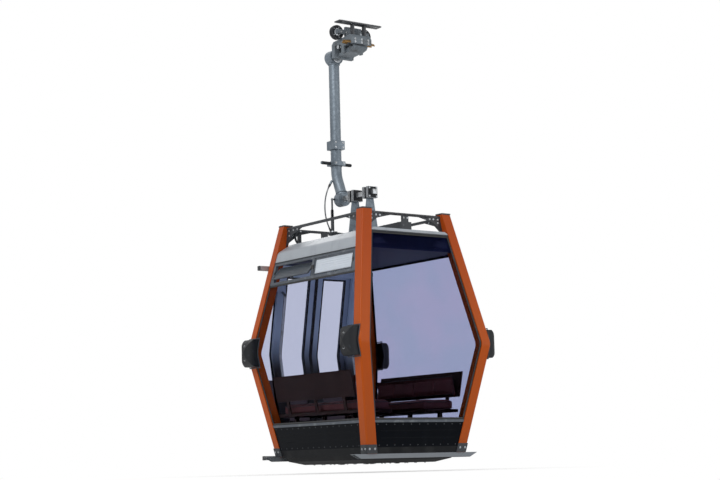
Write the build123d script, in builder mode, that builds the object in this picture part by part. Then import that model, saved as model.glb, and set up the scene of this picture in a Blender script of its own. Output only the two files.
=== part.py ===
from build123d import *
from math import pi, radians, tan
import os

# Cable car cabin on its hanger and detachable rope grip. Millimetres, +Z up.
# The origin is on the rope's axis in the middle of the grip. +X runs along the rope,
# +Y points to the door side, away from the rope's towers. "Front" is the -X end.

os.makedirs("parts", exist_ok=True)

# Heights
ROPE_TO_POST_TOPS = 1800
CABIN_HEIGHT = 2300
WAIST_HEIGHT = 1030
Z_TOP = -ROPE_TO_POST_TOPS
Z_FLOOR = Z_TOP - CABIN_HEIGHT
Z_WAIST = Z_FLOOR + WAIST_HEIGHT

# The cabin's outer skin: widest at the waist, every wall leaning in above and below it
HALF_LENGTH = 780
HALF_WIDTH = 975
LOWER_LEAN = 200
UPPER_LEAN = 250
WAIST_BEND = 160

# Corner posts
POST_LENGTH = 110
POST_WIDTH = 100
POST_ROUND = 18
CORNER_NEAR = 6

# Walls, measured level and inwards from the skin
WALL_RECESS = 8
PANEL_THICK = 40
PANE_RECESS = 14
PANE_THICK = 8
SILL_HEIGHT = 310
SILL_RAIL = 24
WALL_BOTTOM = 60

# Roof
ROOF_DROP = 180
SHOULDER_DROP = 270
SIDE_EAVE_DROP = 218
END_EAVE_DROP = 380
SHOULDER_RUN = 130
SHOULDER_ROUND = 60
ROOF_SKIN = 12
CEILING_THICK = 20
Z_ROOF = Z_TOP - ROOF_DROP
Z_CEILING = Z_TOP - END_EAVE_DROP

# Frame that ties the post tops, above the roof
TIE_WIDTH = 24
TIE_DROP = 28
GUSSET_RUN = 260
END_GUSSET_FALL = 178
SIDE_GUSSET_FALL = 142
GUSSET_THICK = 10
GUSSET_HOLLOW = 0.36

# Vents over the front end window
VENT_DROP = 600
VENT_MARGIN = 26
VENT_MULLION = 40
VENT_GAP = 6
FLAP_THICK = 10
VENT_FRAME_THICK = 30
FLAP_OPEN = 32
HINGE_RADIUS = 5
RUNNING = 0.05

# Doorway and its two leaves
DOORWAY_FLANK = 370
DOORWAY_HALF = HALF_LENGTH - DOORWAY_FLANK
JAMB_WIDTH = 95
FLANK_BORDER = 22
FLANK_NARROW = 20
DOOR_HEAD_DROP = 470
LEAF_GAP = 3
LEAF_LAP = 30
LEAF_THICK = 30
LEAF_CLEAR = 12
LEAF_BORDER = 80
LEAF_TOP_BORDER = 52
DOOR_TRAVEL = 380
LEAF_BOTTOM = 18
DOOR_RAIL_STOP = 8
DOOR_RAIL_FEET = 3
DOOR_RAIL_FOOT = 60
DOOR_RAIL_WIDTH = 44
DOOR_RAIL_HEIGHT = 46
DOOR_RAIL_WALL = 5
TONGUE_THICK = 12
TONGUE_LENGTH = 70
TONGUE_RISE = 34
TONGUE_PLACES = (60, 275)
DOOR_RAIL_HALF = LEAF_GAP + TONGUE_PLACES[-1] + TONGUE_LENGTH / 2 + DOOR_TRAVEL + DOOR_RAIL_STOP
DOOR_GUIDE_HEIGHT = 34

# Ski racks on the leaves
RACK_WIDTH = 300
RACK_DEPTH = 120
RACK_HEIGHT = 190
RACK_LIFT = 170
RACK_WALL = 8
RACK_SLOTS = 3

# Floor
DECK_THICK = 14
PAN_LEVELS = ((0, 0), (51, 38), (85, 150))
PAN_CORNER = 60
RAIL_WIDTH = 60
RAIL_HEIGHT = 42
RAIL_OVERHANG = 150
RAIL_WALL = 6

# Benches
SEAT_TOP = 500
SEAT_CUSHION = 85
SEAT_DEPTH = 400
SEAT_PAN = 30
SEAT_ROUND = 22
SEAT_LIP = 12
BACK_TOP = 780
BACK_GAP = 34
BACK_ROUND = 20
BRACKET_WIDTH = 44
BRACKET_SHARE = 0.72
BACK_SHELL = 14
BACK_CUSHION = 55
BENCH_WALL_GAP = 10
BENCH_SIDE_GAP = 14
LEG_SIZE = 36
LEG_FROM_BACK = 80

# Bumper pads on the posts at the waist
PAD_WIDTH = 170
PAD_HEIGHT = 270
PAD_REACH = 115
PAD_EDGE = 40
PAD_FROM_SIDE = 120
PAD_Y = HALF_WIDTH - PAD_FROM_SIDE

# Door actuator on the roof
CRANK_FROM_POST = 115
CRANK_WIDTH = 36
CRANK_THICK = 12
CRANK_BOW = 60

# Suspension on the roof
JOINT_RISE = 270
Z_AXLE = Z_TOP + JOINT_RISE
AXLE_RADIUS = 28
AXLE_SQUARE = 46
AXLE_TOWER_END = -215
BEAM_WIDTH = 120
BEAM_HEIGHT = 80
BEAM_INSET = 55
BEAM_POST = 72
CHEEK_SPREAD = 125
CHEEK_THICK = 16
CHEEK_FOOT = 170
CHEEK_HEAD = 62
CHEEK_ROUND = 12
DAMPER_SIZE = 108
DAMPER_LENGTH = 46

# Hanger arm
ARM_OFFSET = 440
ARM_RADIUS = 55
ARM_BEND_DROP = 1275
ARM_BEND_RADIUS = 300
EYE_OFFSET = 350
EYE_RADIUS = 72
EYE_LENGTH = 92
STEP_DROP = 1150
STEP_HALF = 185
STEP_RADIUS = 14
STEP_CLAMP = 136
COLLAR_DROP = 960
COLLAR_WIDTH = 132
COLLAR_HEIGHT = 90
COLLAR_LUG = 40

# Hanger pin on the grip
PIN_DROP = 40
PIN_RADIUS = 30
BOSS_RADIUS = 78
ARM_SINK = 23
BOSS_LENGTH = 112
PIN_HEAD_RADIUS = 48
PIN_HEAD = 14
MOVING_GAP = 6

# Damper strut beside the hanger's lower eye
STRUT_OUT = 380
STRUT_BACK = 105
STRUT_RADIUS = 17
STRUT_ROD = 9
STRUT_STROKE = 190
STRUT_FOOT = 30

# Grip
ROPE_RADIUS = 25
JAW_HALF = 120
GRIP_TOP = 92
GRIP_UNDER = 5
GRIP_INNER = 58
GRIP_OUTER = 300
GRIP_BEVEL = 30
GRIP_ARCH = 25
PIN_CHEEK = 50
WHEEL_RADIUS = 72
WHEEL_WIDTH = 46
WHEEL_SPREAD = 170
WHEEL_RISE = 138
WHEEL_AXLE = 15
WHEEL_BEAM_Y = 96
WHEEL_BEAM = 30
WHEEL_BEAM_SHARE = 0.8
WHEEL_BEAM_SINK = 10
WHEEL_CAP_SHARE = 1.6
JAW_PIVOT_Y = 112
JAW_PIVOT_Z = -46
JAW_PIN = 12
JAW_LUG = 20
MOVING_JAW_HALF = 84
JAW_LIP = 40
JAW_DEPTH = 70
JAW_EYE = 24
LEVER_REACH = 206
LEVER_DEPTH = 26
LEVER_TURN = 6
LEVER_ROLLER = 17
SHOE_HALF = 260
SHOE_WIDTH = 90
SHOE_THICK = 12
SHOE_RISE = 205
SHOE_LEG = 20
SHOE_LEG_X = 72

# Control cable from the arm to the roof
CABLE_RADIUS = 7
GLAND_RADIUS = 12
GLAND_LENGTH = 52
PLUG_RADIUS = 13
PLUG_LENGTH = 42
SOCKET_SIZE = 50
SOCKET_X = -72
CABLE_ROUTE = [(-86, 440, -1372), (-148, 447, -1480), (-148, 447, -1740), (-88, 440, -1842)]
CABLE_BEND_SHARE = 0.25


def lean(z):
    """How far the skin stands in from its widest line at height z."""
    if z < Z_WAIST:
        return LOWER_LEAN * (Z_WAIST - z) / WAIST_HEIGHT
    return UPPER_LEAN * (z - Z_WAIST) / (CABIN_HEIGHT - WAIST_HEIGHT)


def turns(z_low, z_high):
    """The heights at which a leaning edge from z_low to z_high starts, turns and ends."""
    return [z_low, Z_WAIST, z_high] if z_low < Z_WAIST < z_high else [z_low, z_high]


def draw(points):
    """Fills a closed outline and rounds the corners that it has at the waist."""
    with BuildLine() as line:
        Polyline(*points, close=True)
    make_face(line.edges())
    waist = vertices().filter_by_position(Axis.Y, Z_WAIST - 1, Z_WAIST + 1)
    if waist:
        fillet(waist, WAIST_BEND)


def section(reach, depth, thick, z_low, z_high):
    """A wall seen end on: a strip that follows the skin, depth inside it."""
    outer = [(reach - depth - lean(z), z) for z in turns(z_low, z_high)]
    draw(outer + [(across - thick, z) for across, z in reversed(outer)])


def edge(place, leans, z_low, z_high):
    """Points up one edge of a wall seen face on; a leaning edge follows the skin."""
    inwards = -1 if place > 0 else 1
    heights = turns(z_low, z_high) if leans else [z_low, z_high]
    return [(place + inwards * lean(z) * leans, z) for z in heights]


# Each side of the cabin: how far it stands out, half its length, its post's width, its turn
SIDES = {
    "door": (HALF_WIDTH, HALF_LENGTH, POST_LENGTH, 0),
    "front": (HALF_LENGTH, HALF_WIDTH, POST_WIDTH, 90),
    "tower": (HALF_WIDTH, HALF_LENGTH, POST_LENGTH, 180),
    "rear": (HALF_LENGTH, HALF_WIDTH, POST_WIDTH, 270),
}


def wall(side, depth, thick, z_low, z_high, left=None, right=None, margin=0):
    """A folded piece of one wall, from post to post unless its edges are given."""
    reach, half, post, turn = SIDES[side]
    low_edge = edge(-half + post + margin, True, z_low, z_high) if left is None else \
        edge(left, False, z_low, z_high)
    high_edge = edge(half - post - margin, True, z_low, z_high) if right is None else \
        edge(right, False, z_low, z_high)
    with BuildPart(mode=Mode.PRIVATE) as piece:
        with BuildSketch(Plane.YZ):
            section(reach, depth, thick, z_low, z_high)
        extrude(amount=half, both=True)
        with BuildSketch(Plane.XZ):
            draw(low_edge + high_edge[::-1])
        extrude(amount=reach * 2, both=True, mode=Mode.INTERSECT)
    return piece.part.rotate(Axis.Z, turn)


def storey(depth, z_low, z_high):
    """The whole plan of the cabin, depth inside the skin, between two heights of one tier."""
    with BuildPart(mode=Mode.PRIVATE) as block:
        for z in (z_low, z_high):
            with BuildSketch(Plane.XY.offset(z)):
                Rectangle(2 * (HALF_LENGTH - depth - lean(z)), 2 * (HALF_WIDTH - depth - lean(z)))
        loft(ruled=True)
    return block.part


def rod(start, end, radius):
    """A straight round bar from one point to another."""
    along = Vector(*end) - Vector(*start)
    with BuildPart(Plane(origin=start, z_dir=along), mode=Mode.PRIVATE) as bar:
        Cylinder(radius, along.length, align=(Align.CENTER, Align.CENTER, Align.MIN))
    return bar.part


def keep(part, name):
    """Labels a finished piece and writes it under its node's name."""
    part.label = name
    export_step(part, f"parts/{name}.step")


def on_corner(point):
    """Whether a point lies where the skins of the rear end and the door side meet."""
    level = lean(point.Z) + CORNER_NEAR
    return point.X + level > HALF_LENGTH and point.Y + level > HALF_WIDTH


# Corner posts: rounded box tubes bent at the waist, one per corner
with BuildPart() as square_post:
    with BuildSketch(Plane.YZ):
        section(HALF_WIDTH, 0, POST_WIDTH, Z_FLOOR, Z_TOP)
    extrude(amount=HALF_LENGTH)
    with BuildSketch(Plane.XZ):
        section(HALF_LENGTH, 0, POST_LENGTH, Z_FLOOR, Z_TOP)
    extrude(amount=HALF_WIDTH * 2, both=True, mode=Mode.INTERSECT)

with BuildPart() as post:
    add(square_post.part)
    upright = [line for line in edges() if abs(line.tangent_at(0.5).Z) > 0.5]
    fillet([line for line in upright if on_corner(line @ 0.5)], POST_ROUND)


def at_corner(part, end, side):
    """Copies a piece of the rear door corner to the corner that is named."""
    if end == "front":
        part = mirror(part, about=Plane.YZ)
    if side == "tower":
        part = mirror(part, about=Plane.XZ)
    return part


CORNERS = [(end, side) for end in ("front", "rear") for side in ("door", "tower")]
for end, side in CORNERS:
    keep(at_corner(post.part, end, side), f"corner_post_{end}_{side}")
post_space = Part() + [at_corner(square_post.part, end, side) for end, side in CORNERS]

# Roof: a light pressed shell, its ends turned down over a rounded shoulder
def roof_form(shrink, z_low):
    """The roof's outer form, or the same form shrunk by a wall, down to a height."""
    base = HALF_LENGTH - WALL_RECESS - shrink
    brow = [(base - lean(z_low), z_low), (base - lean(Z_TOP - SHOULDER_DROP), Z_TOP - SHOULDER_DROP),
            (base - lean(Z_ROOF) - SHOULDER_RUN, Z_ROOF - shrink)]
    with BuildPart(mode=Mode.PRIVATE) as form:
        with BuildSketch(Plane.XZ):
            with BuildLine():
                Polyline(*brow, *[(-x, z) for x, z in reversed(brow)], close=True)
            make_face()
            fillet(vertices().group_by(Axis.Y)[1], SHOULDER_ROUND)
        extrude(amount=HALF_WIDTH, both=True)
        with BuildSketch(Plane.YZ):
            side = [(HALF_WIDTH - WALL_RECESS - shrink - lean(z), z) for z in (z_low, Z_ROOF)]
            with BuildLine():
                Polyline(*side, *[(-y, z) for y, z in reversed(side)], close=True)
            make_face()
        extrude(amount=HALF_LENGTH, both=True, mode=Mode.INTERSECT)
    return form.part


roof_outside = roof_form(0, Z_CEILING)
roof_inside = roof_form(ROOF_SKIN, Z_CEILING)
with BuildPart() as roof_shell:
    add(roof_outside)
    add(roof_inside, mode=Mode.SUBTRACT)
    with Locations((0, -HALF_WIDTH, Z_CEILING), (0, HALF_WIDTH, Z_CEILING)):
        Box(2 * (HALF_LENGTH - lean(Z_CEILING) - POST_LENGTH), 2 * UPPER_LEAN,
            END_EAVE_DROP - SIDE_EAVE_DROP, align=(Align.CENTER, Align.CENTER, Align.MIN),
            mode=Mode.SUBTRACT)
    add(post_space, mode=Mode.SUBTRACT)
keep(roof_shell.part, "roof_shell")

# Ceiling: a dark liner under the roof, whose fascias back the top of the side glass
LINER_RECESS = PANE_RECESS + PANE_THICK
liner_outside = storey(LINER_RECESS, Z_CEILING, Z_ROOF - ROOF_SKIN)
liner_inside = storey(LINER_RECESS + CEILING_THICK, Z_CEILING + CEILING_THICK, Z_ROOF)
with BuildPart() as ceiling_liner:
    add(liner_outside)
    add(liner_inside, mode=Mode.SUBTRACT)
    add(roof_shell.part, mode=Mode.SUBTRACT)
    add(post_space, mode=Mode.SUBTRACT)
    add(roof_inside, mode=Mode.INTERSECT)
keep(ceiling_liner.part, "ceiling_liner")

# Ties between the post tops, with a gusset plate in each upper post corner
Z_TIE = Z_TOP - TIE_DROP


def gusset(run, fall):
    """A plate with a hollow slope: along the tie from the post, and down the post's lean."""
    foot = lean(Z_TIE) - lean(Z_TIE - fall)
    with BuildPart(mode=Mode.PRIVATE) as plate:
        with BuildSketch(Plane.XZ):
            with BuildLine() as rim:
                Polyline((0, 0), (-run, 0), (-run, -TIE_WIDTH / 2),
                         (-run * GUSSET_HOLLOW, -fall * GUSSET_HOLLOW), (foot, -fall), close=True)
            make_face(rim.edges())
        extrude(amount=GUSSET_THICK / 2, both=True)
    return plate.part


inner_x = HALF_LENGTH - lean(Z_TIE) - POST_LENGTH
inner_y = HALF_WIDTH - lean(Z_TIE) - POST_WIDTH
tie_x = HALF_LENGTH - lean(Z_TIE) - POST_LENGTH / 2
tie_y = HALF_WIDTH - lean(Z_TIE) - POST_WIDTH / 2
side_gusset = gusset(GUSSET_RUN, SIDE_GUSSET_FALL)
end_gusset = gusset(GUSSET_RUN, END_GUSSET_FALL).rotate(Axis.Z, 90)
with BuildPart() as roof_ties:
    for side in (-1, 1):
        with Locations((0, side * tie_y, Z_TIE)):
            Box(2 * inner_x + POST_LENGTH, TIE_WIDTH, TIE_WIDTH)
        with Locations((side * tie_x, 0, Z_TIE)):
            Box(TIE_WIDTH, 2 * inner_y + POST_WIDTH, TIE_WIDTH)
    for end, side in CORNERS:
        add(at_corner(side_gusset.moved(Location((inner_x, tie_y, Z_TIE))), end, side))
        add(at_corner(end_gusset.moved(Location((tie_x, inner_y, Z_TIE))), end, side))
    add(post_space, mode=Mode.SUBTRACT)
keep(roof_ties.part, "roof_ties")

# Glass: each pane is bent at the waist and sits between two posts
Z_SILL = Z_FLOOR + SILL_HEIGHT
Z_VENT = Z_TOP - VENT_DROP
Z_SIDE_EAVE = Z_TOP - SIDE_EAVE_DROP
PANES = (  # name, side, top
    ("window_tower", "tower", Z_SIDE_EAVE),
    ("window_front", "front", Z_VENT),
    ("window_rear", "rear", Z_CEILING),
)
for name, side, z_high in PANES:
    keep(wall(side, PANE_RECESS, PANE_THICK, Z_SILL, z_high), name)

# Lower panels of black sandwich board, and the light rail on top of each that takes the glass
LOWER_TOP = Z_SILL - SILL_RAIL
Z_DECK = Z_FLOOR + WALL_BOTTOM
for side in ("tower", "front", "rear"):
    keep(wall(side, WALL_RECESS, PANEL_THICK, Z_DECK, LOWER_TOP), f"lower_panel_{side}")
with BuildPart() as sill_rails:
    for side in ("tower", "front", "rear"):
        add(wall(side, WALL_RECESS / 2, PANEL_THICK, LOWER_TOP, Z_SILL))
keep(sill_rails.part, "sill_rails")

# Vents: a frame with two openings across the front end, a flap on pivots in each
vent_mid = (Z_VENT + Z_CEILING) / 2
vent_low = Z_VENT + VENT_MARGIN
vent_high = Z_CEILING - VENT_MARGIN
vent_end = HALF_WIDTH - lean(Z_CEILING) - POST_WIDTH - VENT_MARGIN
vent_start = VENT_MULLION / 2
pivot_x = -(HALF_LENGTH - WALL_RECESS - VENT_FRAME_THICK / 2 - lean(vent_mid))
flap_recess = WALL_RECESS + (VENT_FRAME_THICK - FLAP_THICK) / 2
with BuildPart() as vent_frame:
    add(wall("front", WALL_RECESS, VENT_FRAME_THICK, Z_VENT, Z_CEILING))
    for side in (-1, 1):
        with Locations((pivot_x, side * (vent_start + vent_end) / 2, (vent_low + vent_high) / 2)):
            Box(4 * VENT_FRAME_THICK, vent_end - vent_start, vent_high - vent_low, mode=Mode.SUBTRACT)
    with Locations((pivot_x, 0, vent_mid)):
        Cylinder(HINGE_RADIUS + RUNNING, 2 * vent_end + VENT_MARGIN, rotation=(90, 0, 0),
                 mode=Mode.SUBTRACT)
keep(vent_frame.part, "vent_frame")


def vent_flap(side):
    """One flap, shut, with the stub of its pivot at each end."""
    low, high = sorted((side * (vent_start + VENT_GAP), side * (vent_end - VENT_GAP)))
    panel = wall("front", flap_recess, FLAP_THICK, vent_low + VENT_GAP, vent_high - VENT_GAP,
                 left=low, right=high)
    stub = VENT_GAP + VENT_MARGIN / 3
    with BuildPart(mode=Mode.PRIVATE) as flap:
        add(panel)
        add(rod((pivot_x, low - stub, vent_mid), (pivot_x, high + stub, vent_mid), HINGE_RADIUS))
    return flap.part


flap_axis = Axis((pivot_x, 0, vent_mid), (0, 1, 0))
keep(vent_flap(1).rotate(flap_axis, FLAP_OPEN), "vent_flap_door_side")
keep(vent_flap(-1), "vent_flap_tower_side")

# Floor: a slab between the post feet, a rounded pan below it and a deck plate on it
slab = storey(WALL_RECESS, Z_FLOOR, Z_DECK)
with BuildPart() as floor_pan:
    add(slab)
    add(post_space, mode=Mode.SUBTRACT)
    half_x = HALF_LENGTH - LOWER_LEAN - WALL_RECESS
    half_y = HALF_WIDTH - LOWER_LEAN - WALL_RECESS - RAIL_WIDTH
    for drop, taper in PAN_LEVELS:
        with BuildSketch(Plane.XY.offset(Z_FLOOR - drop)):
            Rectangle(2 * (half_x - taper), 2 * (half_y - taper))
            chamfer(vertices(), PAN_CORNER)
    loft(ruled=True)
keep(floor_pan.part, "floor_pan")
with BuildPart() as floor_deck:
    add(storey(WALL_RECESS + PANEL_THICK, Z_DECK, Z_DECK + DECK_THICK))
    add(post_space, mode=Mode.SUBTRACT)
keep(floor_deck.part, "floor_deck")

# Guide rails under both long edges: aluminium channels whose ends flare up for the stations
rail_y = HALF_WIDTH - LOWER_LEAN - WALL_RECESS - RAIL_WIDTH / 2
rail_half = HALF_LENGTH - LOWER_LEAN + RAIL_OVERHANG
with BuildPart() as guide_rail:
    with BuildSketch(Plane.XZ):
        with BuildLine():
            Polyline((-rail_half, Z_FLOOR), (rail_half, Z_FLOOR),
                     (rail_half - RAIL_HEIGHT * 2, Z_FLOOR - RAIL_HEIGHT),
                     (RAIL_HEIGHT * 2 - rail_half, Z_FLOOR - RAIL_HEIGHT), close=True)
        make_face()
    extrude(amount=RAIL_WIDTH / 2, both=True)
    with Locations((0, 0, Z_FLOOR - RAIL_HEIGHT)):
        Box(2 * rail_half, RAIL_WIDTH - 2 * RAIL_WALL, 2 * (RAIL_HEIGHT - RAIL_WALL), mode=Mode.SUBTRACT)
for side, y in (("door", rail_y), ("tower", -rail_y)):
    keep(guide_rail.part.moved(Location((0, y, 0))), f"guide_rail_{side}")

# Door side: one frame with the doorway and a small window on each flank
z_door_head = Z_TOP - DOOR_HEAD_DROP
flank_start = DOORWAY_HALF + JAMB_WIDTH
flank_lean = HALF_LENGTH - POST_LENGTH - FLANK_BORDER - FLANK_NARROW - flank_start
flank_low = Z_WAIST - WAIST_HEIGHT * flank_lean / LOWER_LEAN
flank_high = Z_WAIST + (CABIN_HEIGHT - WAIST_HEIGHT) * flank_lean / UPPER_LEAN
flank_panes = []
flank_holes = []
for edges_given in ({"left": flank_start}, {"right": -flank_start}):
    flank_panes.append(wall("door", PANE_RECESS, PANE_THICK, flank_low, flank_high,
                            margin=FLANK_BORDER, **edges_given))
    flank_holes.append(wall("door", -PANEL_THICK, 4 * PANEL_THICK, flank_low, flank_high,
                            margin=FLANK_BORDER, **edges_given))
door_wall = wall("door", WALL_RECESS, PANEL_THICK, Z_DECK, Z_CEILING)
door_fascia = wall("door", WALL_RECESS, LINER_RECESS - WALL_RECESS, Z_CEILING, Z_SIDE_EAVE)
with BuildPart() as door_frame:
    add(door_wall)
    add(door_fascia)
    for hole in flank_holes:
        add(hole, mode=Mode.SUBTRACT)
    with Locations((0, HALF_WIDTH - UPPER_LEAN, Z_DECK)):
        Box(2 * DOORWAY_HALF, HALF_WIDTH, z_door_head - Z_DECK,
            align=(Align.CENTER, Align.CENTER, Align.MIN), mode=Mode.SUBTRACT)
keep(door_frame.part, "door_frame")
with BuildPart() as flank_windows:
    for pane in flank_panes:
        add(pane)
keep(flank_windows.part, "door_flank_windows")

# Door leaves: they slide apart along the outside, hung from a channel over the doorway
leaf_depth = -LEAF_CLEAR - LEAF_THICK
leaf_low = Z_FLOOR + LEAF_BOTTOM
leaf_high = z_door_head + LEAF_LAP
leaf_end = DOORWAY_HALF + LEAF_LAP
leaf_pane_depth = leaf_depth + (LEAF_THICK - PANE_THICK) / 2
leaf_wall = wall("door", leaf_depth, LEAF_THICK, leaf_low, leaf_high, left=LEAF_GAP, right=leaf_end)
leaf_hole = wall("door", leaf_depth - LEAF_THICK, 3 * LEAF_THICK, Z_SILL, leaf_high - LEAF_TOP_BORDER,
                 left=LEAF_GAP + LEAF_BORDER, right=leaf_end - LEAF_BORDER)
leaf_pane = wall("door", leaf_pane_depth, PANE_THICK, Z_SILL, leaf_high - LEAF_TOP_BORDER,
                 left=LEAF_GAP + LEAF_BORDER, right=leaf_end - LEAF_BORDER)
leaf_top_y = HALF_WIDTH - leaf_depth - LEAF_THICK / 2 - lean(leaf_high)
leaf_foot_y = HALF_WIDTH - leaf_depth - LEAF_THICK / 2 - lean(leaf_low)
tongues = [(LEAF_GAP + x, y, z) for x in TONGUE_PLACES
           for y, z in ((leaf_top_y, leaf_high), (leaf_foot_y, leaf_low))]
with BuildPart() as door_leaf:
    add(leaf_wall)
    add(leaf_hole, mode=Mode.SUBTRACT)
    with Locations(*tongues):
        Box(TONGUE_LENGTH, TONGUE_THICK, 2 * TONGUE_RISE)
keep(door_leaf.part, "door_leaf_rear")
keep(mirror(door_leaf.part, about=Plane.YZ), "door_leaf_front")
keep(leaf_pane, "door_window_rear")
keep(mirror(leaf_pane, about=Plane.YZ), "door_window_front")

z_channel = leaf_high + MOVING_GAP
channel_foot = leaf_top_y - DOOR_RAIL_WIDTH / 2
with BuildPart() as door_rail:
    with BuildSketch(Plane.YZ):
        with Locations((leaf_top_y, z_channel)):
            Rectangle(DOOR_RAIL_WIDTH, DOOR_RAIL_HEIGHT, align=(Align.CENTER, Align.MIN))
            Rectangle(DOOR_RAIL_WIDTH - 2 * DOOR_RAIL_WALL, DOOR_RAIL_HEIGHT - DOOR_RAIL_WALL,
                      align=(Align.CENTER, Align.MIN), mode=Mode.SUBTRACT)
    extrude(amount=DOOR_RAIL_HALF, both=True)
    with Locations((0, channel_foot, z_channel + DOOR_RAIL_HEIGHT / 2)):
        with GridLocations(DOORWAY_HALF, 0, DOOR_RAIL_FEET, 1):
            Box(DOOR_RAIL_FOOT, 2 * (channel_foot - HALF_WIDTH + WALL_RECESS + lean(z_channel) + PANE_RECESS / 2),
                DOOR_RAIL_HEIGHT)
    with Locations((0, leaf_top_y, z_channel)):
        Box(2 * DOOR_RAIL_HALF, DOOR_RAIL_WIDTH - 2 * DOOR_RAIL_WALL,
            2 * (DOOR_RAIL_HEIGHT - DOOR_RAIL_WALL), mode=Mode.SUBTRACT)
    add(door_wall, mode=Mode.SUBTRACT)
keep(door_rail.part, "door_rail")

z_guide = leaf_low - MOVING_GAP
guide_inner = leaf_foot_y - DOOR_RAIL_WIDTH / 2
with BuildPart() as door_guide:
    with BuildSketch(Plane.YZ):
        with Locations((leaf_foot_y, z_guide)):
            Rectangle(DOOR_RAIL_WIDTH, DOOR_GUIDE_HEIGHT + MOVING_GAP, align=(Align.CENTER, Align.MAX))
            Rectangle(DOOR_RAIL_WIDTH - 2 * DOOR_RAIL_WALL, DOOR_GUIDE_HEIGHT + MOVING_GAP - DOOR_RAIL_WALL,
                      align=(Align.CENTER, Align.MAX), mode=Mode.SUBTRACT)
    extrude(amount=DOOR_RAIL_HALF, both=True)
    with Locations((0, guide_inner, Z_FLOOR)):
        with GridLocations(DOORWAY_HALF, 0, DOOR_RAIL_FEET, 1):
            Box(DOOR_RAIL_FOOT, 2 * RAIL_WIDTH, GUSSET_THICK, align=(Align.CENTER, Align.MAX, Align.MIN))
    add(floor_pan.part, mode=Mode.SUBTRACT)
    add(door_wall, mode=Mode.SUBTRACT)
keep(door_guide.part, "door_guide")

# Ski racks: a moulded trough low on each leaf, split into slots
rack_x = (LEAF_GAP + leaf_end) / 2
rack_low = Z_FLOOR + RACK_LIFT
rack_face = HALF_WIDTH - leaf_depth
with BuildPart() as ski_rack:
    with BuildSketch(Plane.YZ):
        face = [(rack_face - lean(z), z) for z in (rack_low, rack_low + RACK_HEIGHT)]
        front = [(face[1][0] + RACK_DEPTH, face[1][1]), (face[0][0] + RACK_DEPTH, face[0][1])]
        with BuildLine():
            Polyline(*face, *front, close=True)
        make_face()
    extrude(amount=RACK_WIDTH / 2, both=True)
    slot = (RACK_WIDTH - RACK_WALL) / RACK_SLOTS
    mid_y = face[1][0] + RACK_DEPTH / 2
    with GridLocations(slot, 0, RACK_SLOTS, 1):
        with Locations((0, mid_y, rack_low + 2 * RACK_WALL)):
            Box(slot - RACK_WALL, RACK_DEPTH - 4 * RACK_WALL, RACK_HEIGHT,
                align=(Align.CENTER, Align.CENTER, Align.MIN), mode=Mode.SUBTRACT)
keep(ski_rack.part.moved(Location((rack_x, 0, 0))), "ski_rack_rear")
keep(ski_rack.part.moved(Location((-rack_x, 0, 0))), "ski_rack_front")

# Benches along both ends: a pan on legs and a back shell, with a cushion on each
Z_SEAT = Z_FLOOR + SEAT_TOP
z_pan = Z_SEAT - SEAT_CUSHION - SEAT_PAN
z_back_top = Z_FLOOR + BACK_TOP
bench_half = HALF_WIDTH - LOWER_LEAN - POST_WIDTH - BENCH_SIDE_GAP
back_recess = WALL_RECESS + PANEL_THICK + BENCH_WALL_GAP
pan_back = HALF_LENGTH - back_recess - lean(z_pan)
pan_front = pan_back - SEAT_DEPTH
leg_x = pan_back - LEG_FROM_BACK
for end, facing in (("front", -1), ("rear", 1)):
    with BuildPart() as bench_frame:
        add(wall(end, back_recess, BACK_SHELL, Z_SEAT + BACK_GAP, z_back_top,
                 left=-bench_half, right=bench_half))
        with Locations((facing * (pan_back + pan_front) / 2, 0, z_pan)):
            Box(SEAT_DEPTH, 2 * bench_half, SEAT_PAN, align=(Align.CENTER, Align.CENTER, Align.MIN))
        for y in (-bench_half * BRACKET_SHARE, 0, bench_half * BRACKET_SHARE):
            add(wall(end, back_recess, BACK_SHELL, z_pan, z_back_top,
                     left=y - BRACKET_WIDTH / 2, right=y + BRACKET_WIDTH / 2))
            with Locations((facing * leg_x, y, Z_DECK + DECK_THICK)):
                Box(LEG_SIZE, LEG_SIZE, z_pan - Z_DECK - DECK_THICK,
                    align=(Align.CENTER, Align.CENTER, Align.MIN))
    keep(bench_frame.part, f"bench_frame_{end}")
    with BuildPart() as back_cushion:
        add(wall(end, back_recess + BACK_SHELL, BACK_CUSHION, Z_SEAT + BACK_GAP, z_back_top - BACK_SHELL,
                 left=-bench_half + BACK_SHELL, right=bench_half - BACK_SHELL))
        inside = edges().filter_by(Axis.Y).sort_by(Axis.X, reverse=facing > 0)[-2:]
        chamfer(inside, BACK_ROUND)
    keep(back_cushion.part, f"back_cushion_{end}")
    cushion_back = pan_back - BACK_SHELL
    with BuildPart() as seat_cushion:
        with Locations((facing * (cushion_back + pan_front - SEAT_LIP) / 2, 0, Z_SEAT - SEAT_CUSHION)):
            Box(cushion_back - pan_front + SEAT_LIP, 2 * (bench_half - BACK_SHELL), SEAT_CUSHION,
                align=(Align.CENTER, Align.CENTER, Align.MIN))
        add(bench_frame.part, mode=Mode.SUBTRACT)
        front_edge = edges().filter_by(Axis.Y).group_by(Axis.Z)[-1].sort_by(Axis.X, reverse=facing > 0)[-1]
        fillet(front_edge, SEAT_ROUND)
    keep(seat_cushion.part, f"seat_cushion_{end}")

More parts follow.
